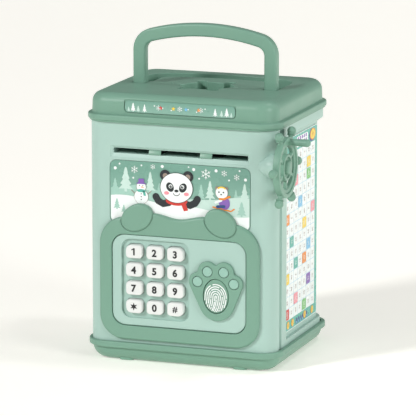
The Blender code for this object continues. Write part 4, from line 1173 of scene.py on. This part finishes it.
# prints: thin closed shapes laid in layers on a film
inkColours = {
    "mint": screenColour(160, 200, 186),
    "pale": screenColour(196, 222, 212),
    "snow": screenColour(238, 244, 242),
    "dark": screenColour(34, 40, 44),
    "red": screenColour(206, 58, 48),
    "pink": screenColour(236, 150, 160),
    "purple": screenColour(132, 96, 176),
    "orange": screenColour(232, 140, 48),
    "yellow": screenColour(240, 208, 72),
    "gold": screenColour(222, 168, 62),
    "teal": screenColour(88, 176, 160),
    "green": screenColour(120, 190, 110),
    "blue": screenColour(120, 190, 226),
    "navy": screenColour(44, 74, 130),
    "brown": screenColour(150, 134, 122),
    "grey": screenColour(176, 166, 160),
    "line": screenColour(176, 216, 232),
    "legend": screenColour(28, 30, 32),
}
inks = {name: printedInk("ink" + name.title(), colour) for name, colour in inkColours.items()}
layer = 0.05  # height of each print above the one below
figureLevel = 7  # layers under the figures


class Face:
    # a flat place to print on: u runs to the right, v up, and heights out of the face
    def __init__(self, origin, u=(1, 0, 0), out=(0, -1, 0)):
        self.origin, self.u, self.v, self.out = (Vector(a) for a in (origin, u, (0, 0, 1), out))
        self.prints = {}

    def at(self, u, v, h):
        return (self.origin + self.u * u + self.v * v + self.out * h) * mm

    def mesh(self, ink):
        if ink not in self.prints:
            self.prints[ink] = bmesh.new()
        return self.prints[ink]

    def shape(self, ink, outline, level):
        # one closed print; level counts the layers under it
        bm = self.mesh(ink)
        heights = (layer * (level - 0.6), layer * level)
        bridge(bm, [[bm.verts.new(self.at(u, v, h)) for u, v in outline] for h in heights])

    def shapes(self, level, *prints):
        # several prints, given as (ink, steps above level, outline)
        for ink, up, outline in prints:
            self.shape(ink, outline, level + up)

    def text(self, ink, words, size, u, v, level, turn=0, bold=0.0, steps=3):
        bm = self.mesh(ink)
        spots, faces = lettering(words, size, bold, steps)
        low, high = layer * (level - 0.6), layer * level
        c, s = math.cos(math.radians(turn)), math.sin(math.radians(turn))
        made = []
        for x, y, w in spots:
            made.append(bm.verts.new(self.at(u + x * c - y * s, v + x * s + y * c, high if w > 0 else low)))
        for corners in faces:
            bm.faces.new([made[i] for i in corners])

    def finish(self, name, body):
        for ink, bm in self.prints.items():
            give(finishMesh(f"{name}{ink.title()}", bm, 20), body, inks[ink])


letterStore = {}


def lettering(words, size, bold, steps):
    # corners and faces of a word as a closed slab, centred on (0, 0)
    key = (words, size, bold, steps)
    if key in letterStore:
        return letterStore[key]
    curve = bpy.data.curves.new("letters", "FONT")
    curve.body = words
    curve.size = size
    curve.offset = bold
    curve.extrude = 0.5
    curve.resolution_u = steps
    obj = bpy.data.objects.new("letters", curve)
    bpy.context.scene.collection.objects.link(obj)
    graph = bpy.context.evaluated_depsgraph_get()
    mesh = bpy.data.meshes.new_from_object(obj.evaluated_get(graph))
    bm = bmesh.new()
    bm.from_mesh(mesh)
    bmesh.ops.remove_doubles(bm, verts=bm.verts, dist=0.004)
    bm.verts.index_update()
    xs = [v.co.x for v in bm.verts]
    ys = [v.co.y for v in bm.verts]
    midX, midY = (min(xs) + max(xs)) / 2, (min(ys) + max(ys)) / 2
    spots = [(v.co.x - midX, v.co.y - midY, v.co.z) for v in bm.verts]
    faces = [[v.index for v in f.verts] for f in bm.faces]
    bm.free()
    bpy.data.objects.remove(obj)
    bpy.data.meshes.remove(mesh)
    bpy.data.curves.remove(curve)
    letterStore[key] = (spots, faces)
    return letterStore[key]


def star(cx, cz, r, inner=0.42, points=5):
    tips = arc(0, 0, r, 90, 450, points)
    dents = arc(0, 0, r * inner, 90 + 180 / points, 450 + 180 / points, points)
    return [(cx + x, cz + z) for pair in zip(tips[:-1], dents) for x, z in pair]


def fir(cx, low, high, wide, tiers=4):
    # a fir tree with drooping tiers on a short trunk
    tall = high - low
    right = [(wide * 0.09, low), (wide * 0.09, low + tall * 0.12)]
    for i in range(tiers):
        z = low + tall * (0.1 + 0.9 * i / tiers)
        half = wide / 2 * (1 - i / tiers) ** 0.9
        right += [(half, z), (half * 0.5, z + tall / tiers * (0.2 + 0.9 * 0.55))]
    return [(cx + x, z) for x, z in mirrored(right + [(0, high)])]


def flake(face, ink, cx, cz, r, level):
    # a snowflake; the arms lie at their own heights, so that none shares a face with another
    for i in range(6):
        a = math.radians(60 * i + 30)
        c, s = math.cos(a), math.sin(a)
        lift = level + 0.12 * i
        face.shape(ink, ribbon([(cx, cz), (cx + r * c, cz + r * s)], r * 0.13, 2), lift)
        for way in (-1, 1):
            b = a + way * math.radians(50)
            x, z = cx + r * 0.55 * c, cz + r * 0.55 * s
            tip = (x + r * 0.33 * math.cos(b), z + r * 0.33 * math.sin(b))
            face.shape(ink, ribbon([(x, z), tip], r * 0.1, 2), lift + 0.04 * way + 0.8)


def makeKeys():
    front, back = keypad["front"], panel["back"] + gap
    flag = [(-1.4, 0.8), (-1.4, 1.45), (0.05, 2.3), (0.8, 2.3), (0.8, -2.3), (-0.25, -2.3), (-0.25, 1.25)]
    for name, (x, z, column, row) in zip(keyNames, keySpots()):
        outline = keyOutline(x, z, column, row)
        flange = keyOutline(x, z, column, row, 0.6)
        sections = [(back + 0.7, flange), (back, flange), (back, outline)]
        for s, c in quarter(6):
            rim = inset(outline, keypad["dish"] * (1 - c) + 0.001)
            sections.append((front + keypad["round"] * (1 - s), rim))
        sections += [(front + 0.03, inset(outline, 1.6)), (front + 0.10, inset(outline, 2.4))]
        cap = stack("keyCap" + name.title(), "Y", sections)
        give(smooth(cap, 60), f"key_{name}_cap", keyPlastic, "key_" + name)
        face = Face((x, front + 0.10, z))
        if name == "star":
            face.shape("legend", star(0, 0, 2.6, 0.42, 6), 2)
        elif name == "hash":
            face.text("legend", "#", 5.2, 0, 0, 2, bold=0.12, steps=4)
        elif name == "1":
            face.shape("legend", flag, 2)
        else:
            face.text("legend", name, 6.2, 0, 0, 2, bold=0.24, steps=5)
        face.finish("keyMark" + name.title(), f"key_{name}_cap")


whorl = {"core": 0.5, "pitch": 1.3, "loops": 6, "width": 0.68, "step": 0.5, "drift": 0.006}


def makePad():
    front, back = paw["padFront"], panel["back"] + gap
    sections = [(back + 0.9, padOutline(0.9)), (back, padOutline(0.9)), (back, padOutline(0))]
    sections += [(front + 0.7 * (1 - s), padOutline(-0.001 - 0.6 * (1 - c))) for s, c in quarter(5)]
    pad = stack("fingerPad", "Y", sections)
    give(smooth(pad, 60), "pad", darkPlastic, "fingerprint_pad")
    face = Face((paw["x"], front, paw["padZ"] - 0.2))
    step, drift = whorl["step"], whorl["drift"]
    for i in range(whorl["loops"]):
        # loops round a core; each leg runs down the finger and drifts to one side
        radius = whorl["core"] + whorl["pitch"] * i
        run = [(-radius - 0.1 - drift * k * k, -step * k) for k in range(23, -1, -1)]
        run += [(radius * u - 0.1, 1.12 * radius * v) for u, v in reversed(arc(0, 0, 1, 0, 180, 24))]
        run += [(radius * (1 - 0.004 * k) - 0.1 - drift * k * k, -step * k) for k in range(1, 24)]
        start = 0
        for k, (x, z) in enumerate(run + [(99, 99)]):
            # a ridge ends at the pad's rim, and breaks here and there
            if (x / 7.6) ** 2 + ((z - 0.2) / 9.8) ** 2 >= 1 or (k + 7 * i) % 17 == 0:
                if k - start > 1:
                    face.shape("snow", ribbon(run[start:k], whorl["width"], 5), 4)
                start = k + 1
    face.finish("fingerprint", "pad")


makeKeys()
makePad()
print("keys and pad made")


trees = (
    # x, foot, top, width, ink, level
    (-36.1, 110.0, 125.9, 9.6, "pale", 2),
    (-43.2, 109.0, 118.5, 5.6, "mint", 2),
    (-19.7, 110.5, 123.8, 6.8, "pale", 2),
    (-13.6, 108.5, 117.0, 4.6, "mint", 2),
    (14.2, 107.5, 118.0, 5.6, "mint", 2),
    (20.1, 108.0, 120.6, 6.8, "pale", 2),
    (42.9, 107.5, 120.2, 6.8, "pale", 2),
    (37.2, 106.5, 116.0, 4.6, "mint", 2),
    (41.0, 99.0, 108.5, 6.6, "mint", 6),
    (-42.0, 98.5, 105.5, 4.8, "mint", 6),
    (-37.4, 96.5, 101.5, 3.6, "mint", 6),
)
bigDots = ((-43.1, 124.7), (-11.6, 127.6), (9.3, 127.0), (24.1, 127.1), (43.5, 122.6))
smallDots = ((-25.5, 127.4), (39.6, 128.0), (32.7, 121.6), (-8.0, 124.4))
smallDots += ((12.9, 121.4), (-40.2, 127.6), (-31.0, 119.2))
snowDots = {1.0: bigDots, 0.6: smallDots, 0.5: ((5.9, 128.3),)}  # radius: places
snowFlakes = (  # x, height, radius
    (-30.2, 124.5, 2.3),
    (-17.9, 127.0, 1.7),
    (17.4, 124.6, 3.2),
    (29.5, 125.8, 2.0),
    (37.7, 123.8, 2.0),
)


def makeSticker():
    half, low, corner, front = sticker["halfWide"], sticker["low"], sticker["corner"], sticker["front"]
    outline = rounded(-half, low, half, sticker["high"], corner, 10)
    film = plate("pictureFilm", "Y", outline, front, front + sticker["thick"])
    give(film, "casing", fadeInk("inkSkyFade", 104, 124), "front_sticker")
    face = Face((0, front, 0))
    edge = 0.5
    bottom = arc(-half + corner, low + corner, corner - edge, 180, 270, 8)
    bottom += arc(half - corner, low + corner, corner - edge, 270, 360, 8)

    def land(ink, top, level):
        # snowy ground from the film's lower edge up to a curve
        xs = [half - edge - (2 * half - 2 * edge) * i / 60 for i in range(61)]
        face.shape(ink, bottom + [(x, top(x)) for x in xs], level)

    land("mint", lambda x: 110.5 + 3.8 * math.cos((x + 31) / 14.5) + 1.2 * math.sin(x / 5.1), 1)
    land("pale", lambda x: 107.0 + 3.4 * math.cos((x - 37) / 19.0) + 0.9 * math.sin(x / 6.3 + 1), 3)
    land("snow", lambda x: 103.2 + 3.6 * math.cos((x + 40) / 26.0) + 1.1 * math.sin(x / 8.0), 5)
    for x, foot, top, wide, ink, level in trees:
        face.shape(ink, fir(x, foot, top, wide), level)
    for r, spots in snowDots.items():
        for x, z in spots:
            face.shape("snow", circle(x, z, r, 20), 3)
    for x, z, r in snowFlakes:
        flake(face, "snow", x, z, r, 3)
    makeBigCub(face, -2.0, 114.6)
    makeSnowman(face, -25.6, 107.4)
    makeSledCub(face, 28.5, 106.5)
    face.finish("picture", "casing")


def makeBigCub(face, x, z):
    # a bear cub leaning over the top of the door, with a plain scarf
    face.shape("snow", oval(x, z - 13.4, 8.4, 7.2, 48), figureLevel)
    for way in (-1, 1):
        arm = [(x + way * u, z + v) for u, v in ((5.2, -9.6), (9.0, -10.6), (12.2, -9.0), (13.8, -6.4))]
        face.shapes(
            figureLevel,
            ("dark", 1, ribbon(arm, 4.6, 8)),
            ("dark", 1, circle(x + way * 7.6, z + 7.6, 3.5, 32)),
            ("brown", 2, circle(x + way * 7.5, z + 7.3, 1.7, 24)),
        )
    knot = [(x + u, z + v) for u, v in ((3.4, -9.2), (6.2, -9.7), (7.7, -13.8), (4.9, -14.5), (3.4, -11.0))]
    face.shapes(
        figureLevel,
        ("red", 2, oval(x, z - 8.4, 7.2, 2.9, 40)),
        ("red", 3, knot),
        ("dark", 3, oval(x, z, 11.0, 9.75, 64)),
        ("snow", 4, oval(x, z, 10.65, 9.4, 64)),
        ("dark", 5, oval(x, z - 1.9, 1.35, 0.9, 24)),
        ("dark", 5, ribbon(arc(x, z - 2.6, 2.3, 205, 335, 12), 0.42, 4)),
    )
    for way in (-1, 1):
        face.shapes(
            figureLevel,
            ("dark", 5, oval(x + way * 4.3, z + 0.3, 2.4, 3.1, 36, math.radians(-way * 28))),
            ("snow", 6, circle(x + way * 3.9, z + 0.8, 1.25, 24)),
            ("dark", 7, circle(x + way * 3.8, z + 0.7, 0.85, 24)),
            ("snow", 8, circle(x + way * 3.8 + 0.3, z + 1.05, 0.28, 12)),
            ("pink", 5, oval(x + way * 6.6, z - 3.6, 1.7, 1.15, 24)),
        )


def makeSnowman(face, x, z):
    for cz, r in ((z, 4.6), (z + 6.3, 3.1)):
        face.shapes(figureLevel, ("brown", 0, circle(x, cz, r + 0.18, 36)), ("snow", 1, circle(x, cz, r, 36)))
    face.shapes(
        figureLevel,
        ("teal", 2, oval(x, z + 3.9, 3.0, 1.0, 28)),
        ("teal", 2, [(x + 1.0, z + 3.8), (x + 2.6, z + 3.6), (x + 3.2, z + 0.8), (x + 1.6, z + 0.8)]),
        ("purple", 2, rounded(x - 1.9, z + 8.5, x + 1.9, z + 11.6, 0.5, 3)),
        ("purple", 3, rounded(x - 3.0, z + 8.2, x + 3.0, z + 9.0, 0.35, 3)),
        ("orange", 2, [(x, z + 6.7), (x, z + 5.9), (x + 2.4, z + 6.1)]),
    )
    for way in (-1, 1):
        stick = [(x + way * 3.9, z + 1.6), (x + way * 6.6, z + 3.9)]
        eye = circle(x + way * 1.1, z + 7.2, 0.32, 14)
        face.shapes(figureLevel, ("dark", 2, eye), ("brown", 0, ribbon(stick, 0.45, 3)))
    for i in range(3):
        face.shape("dark", circle(x, z + 1.9 - 1.8 * i, 0.34, 14), figureLevel + 2)


def makeSledCub(face, x, z):
    headX, headZ = x - 0.6, z + 7.0
    for way in (-1, 1):
        face.shapes(
            figureLevel,
            ("brown", 1, circle(x + way * 2.9 - 0.6, z + 9.6, 1.35, 20)),
            ("dark", 3, circle(x + way * 1.5 - 0.9, z + 7.3, 0.5, 16)),
        )
    face.shapes(
        figureLevel,
        ("orange", 0, ribbon([(x - 6.4, z - 2.4), (x + 5.6, z - 4.4), (x + 7.6, z - 3.0)], 0.9, 4)),
        ("purple", 1, oval(x + 1.2, z + 0.6, 3.6, 4.2, 32, 0.3)),
        ("navy", 2, ribbon([(x + 1.0, z - 1.6), (x - 3.4, z - 2.0)], 1.9, 5)),
        ("snow", 2, ribbon([(x - 0.8, z + 2.2), (x - 4.6, z + 0.6)], 1.5, 5)),
        ("brown", 1, circle(headX, headZ, 4.15, 36)),
        ("snow", 2, circle(headX, headZ, 3.95, 36)),
        ("yellow", 3, ribbon(arc(headX, headZ, 3.5, 50, 130, 10), 0.9, 4)),
        ("dark", 3, oval(x - 0.9, z + 5.9, 0.6, 0.42, 16)),
        ("orange", 3, ribbon([(x - 1.8, z + 3.0), (x + 0.8, z + 3.0), (x + 4.6, z + 4.8)], 1.3, 5)),
    )


makeSticker()
print("picture made")


lidLabel = {
    "halfWide": 36.5,
    "low": 160.8,
    "high": 168.1,
    "corner": 2.5,
    "front": -52.9,
    "thick": 0.4,
    "midZ": 164.5,
    "firs": ((34.0, 164.2, 2.2), (31.0, 166.9, 3.6), (27.6, 165.2, 2.8), (23.4, 166.2, 3.0)),  # x, top, width
}


def makeLidLabel():
    # a plain winter row
    half, low, high, front = lidLabel["halfWide"], lidLabel["low"], lidLabel["high"], lidLabel["front"]
    outline = rounded(-half, low, half, high, lidLabel["corner"], 8)
    film = plate("lidLabel", "Y", outline, front, front + lidLabel["thick"])
    give(film, "casing", fadeInk("inkLidFade", low, high), "lid_label")
    face = Face((0, front, 0))
    midZ = lidLabel["midZ"]
    for way in (-1, 1):
        for i, (x, top, wide) in enumerate(lidLabel["firs"]):
            face.shape("snow" if i % 2 else "pale", fir(way * x, low + 0.5, top, wide), 2)
    for i in range(15):
        x = -19.6 + 2.8 * i
        if i % 5 == 2:
            flake(face, "snow", x, midZ, 1.7, 2)
        elif i % 2:
            face.shape("snow", circle(x, midZ + 1.3 * math.sin(2.1 * i), 0.42, 16), 2)
    for i, ink in enumerate(("red", "yellow", "blue", "orange")):
        face.shape(ink, star(-12.6 + 8.4 * i, midZ, 1.5), 3)
    face.finish("lidPrint", "casing")


makeLidLabel()
print("lid label made")


# savings chart on both sides
chart = {
    "front": -26.5,
    "rear": 37.9,
    "low": 20.0,
    "high": 144.0,
    "inner": 60.3,
    "thick": 0.3,
    "edge": 0.4,
    "columns": 7,
    "rows": 14,
    "headHigh": 10.0,
    "footHigh": 7.0,
    "stripWide": 4.2,
    "step": 5,  # the amounts go up in steps of this
}
chartCells = {
    # ink: (row from the top, column)
    "yellow": ((1, 5), (6, 4), (10, 0)),
    "pink": ((2, 2), (5, 6), (12, 2)),
    "green": ((2, 5), (13, 4)),
    "blue": ((4, 3), (8, 5)),
    "orange": ((5, 0), (9, 4)),
    "teal": ((7, 1), (9, 2)),
    "purple": ((11, 5),),
    "red": ((13, 0),),
}


def makeChart(side, way):
    low, high, edge = chart["low"], chart["high"], chart["edge"]
    inner, outer = way * chart["inner"], way * (chart["inner"] + chart["thick"])
    outline = rounded(chart["front"], low, chart["rear"], high, 1.5, 5)
    film = plate("chartFilm" + side, "X", outline, *sorted((inner, outer)))
    give(film, "casing", inks["snow"], "side_label_" + side.lower())
    face = Face((outer, (chart["rear"] + chart["front"]) / 2, 0), (0, way, 0), (way, 0, 0))
    half = (chart["rear"] - chart["front"]) / 2
    left, right = -half + edge, half - edge
    headLow, footHigh = high - chart["headHigh"], low + chart["footHigh"]
    gridRight = right - chart["stripWide"]
    face.shape("teal", rounded(left, headLow, right, high - edge, 1.2, 4), 1)
    face.shape("teal", rect(gridRight, footHigh, right, headLow), 1)
    face.shape("teal", rounded(left, low + edge, right, footHigh, 1.2, 4), 1)
    printHead(face, left, right, headLow, high)
    printFoot(face, left, right, low)
    printGrid(face, left, gridRight, footHigh, headLow)
    face.finish("chart" + side, "casing")


def printHead(face, left, right, low, high):
    # a row of dashes in place of words, a coin and stars
    panelU = right - 42
    face.shape("snow", rounded(panelU, low + 1.4, panelU + 23, high - 1.8, 1.6, 5), 2)
    for i in range(5):
        for j in range(2):
            u, v = panelU + 2.6 + 3.9 * i, low + 2.6 + 3.0 * j
            face.shape("purple", rounded(u, v, u + 2.2, v + 2.2, 0.5, 2), 3)
    face.shape("navy", oval(right - 10.4, low + 4.6, 6.4, 4.1, 40), 2)
    printCoin(face, right - 9.2, low + 5.0, 3.7, 3, 1.5)
    for i in range(3):
        face.shape("snow", star(left + 4 + 5.2 * i, low + 4.8 + 0.8 * (-1) ** i, 1.5), 2)


def printFoot(face, left, right, low):
    # coins and a row of little houses
    for u in (left + 6, left + 15, right - 24, right - 9):
        printCoin(face, u, low + 3.8, 2.5, 3)
    house = [(-1.5, 1.2), (1.5, 1.2), (1.5, 4.0), (0, 5.6), (-1.5, 4.0)]
    for i in range(6):
        mid = left + 23 + 4.1 * i
        face.shape("navy", [(mid + u, low + v) for u, v in house], 2)
        face.shape("blue", rect(mid - 0.6, low + 1.4, mid + 0.6, low + 3.1), 3)


def printGrid(face, left, right, low, high):
    wide, tall = (right - left) / chart["columns"], (high - low) / chart["rows"]
    cells = {spot: ink for ink, spots in chartCells.items() for spot in spots}
    for row in range(chart["rows"]):
        top = high - row * tall
        if row:
            face.shape("line", rect(left, top - 0.16, right, top + 0.16), 1)
        for column in range(chart["columns"]):
            u, v = left + wide * (column + 0.5), top - tall / 2
            ink = cells.get((row, column))
            if ink:
                face.shape(ink, roundedAt(u, v, wide / 2 - 0.35, tall / 2 - 0.35, 0.9, 4), 2)
            amount = chart["step"] * (1 + (row * 3 + column * 5) % 20)
            face.text("snow" if ink else "grey", str(amount), 3.0, u, v, 3, turn=90, steps=2)
    for column in range(1, chart["columns"]):
        u = left + wide * column
        face.shape("line", rect(u - 0.09, low, u + 0.09, high), 1.3)


def printCoin(face, u, v, r, level, stretch=1.0):
    face.shape("orange", oval(u, v, r * stretch, r, 40), level)
    face.shape("yellow", oval(u, v, r * stretch * 0.84, r * 0.84, 36), level + 1)
    face.shape("gold", star(u, v, r * 0.58), level + 2)


makeChart("Right", 1)
makeChart("Left", -1)
print("charts made")


# works and fasteners keep their CAD shape, with their own finish
rubber = mouldedPlastic("softRubber", screenColour(40, 40, 42), 0.72, 2.5)
boardGreen = printedInk("boardGreen", screenColour(38, 92, 58), 0.42)
canSteel = metal("canSteel", (0.52, 0.52, 0.54), 0.34)
cellWrap = printedInk("cellWrap", screenColour(48, 54, 62), 0.3)


nodeFinishes = (
    (lightPlastic, ("compartment_floor", "door_back_cover", "note_chute")),
    (blackPlastic, ("pinch_roller", "speaker")),
    (rubber, ("feed_roller_left", "feed_roller_right", "keypad_membrane")),
    (boardGreen, ("main_board", "door_board")),
    (canSteel, ("feed_motor", "lock_solenoid")),
    (cellWrap, [f"battery_cell_{i}" for i in (1, 2, 3)]),
    (platedSteel, [f"base_screw_{i}" for i in (1, 2, 3, 4)]),
    (platedSteel, ("battery_door_screw", "door_hinge_pin", "feed_shaft", "latch_bolt", "wheel_shaft")),
    (platedSteel, ("handle_pin_left", "handle_pin_right")),
)


def finishNodes():
    for material, names in nodeFinishes:
        for name in names:
            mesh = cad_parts[name].data
            mesh.materials.clear()
            mesh.materials.append(material)


finishNodes()
print("works finished")
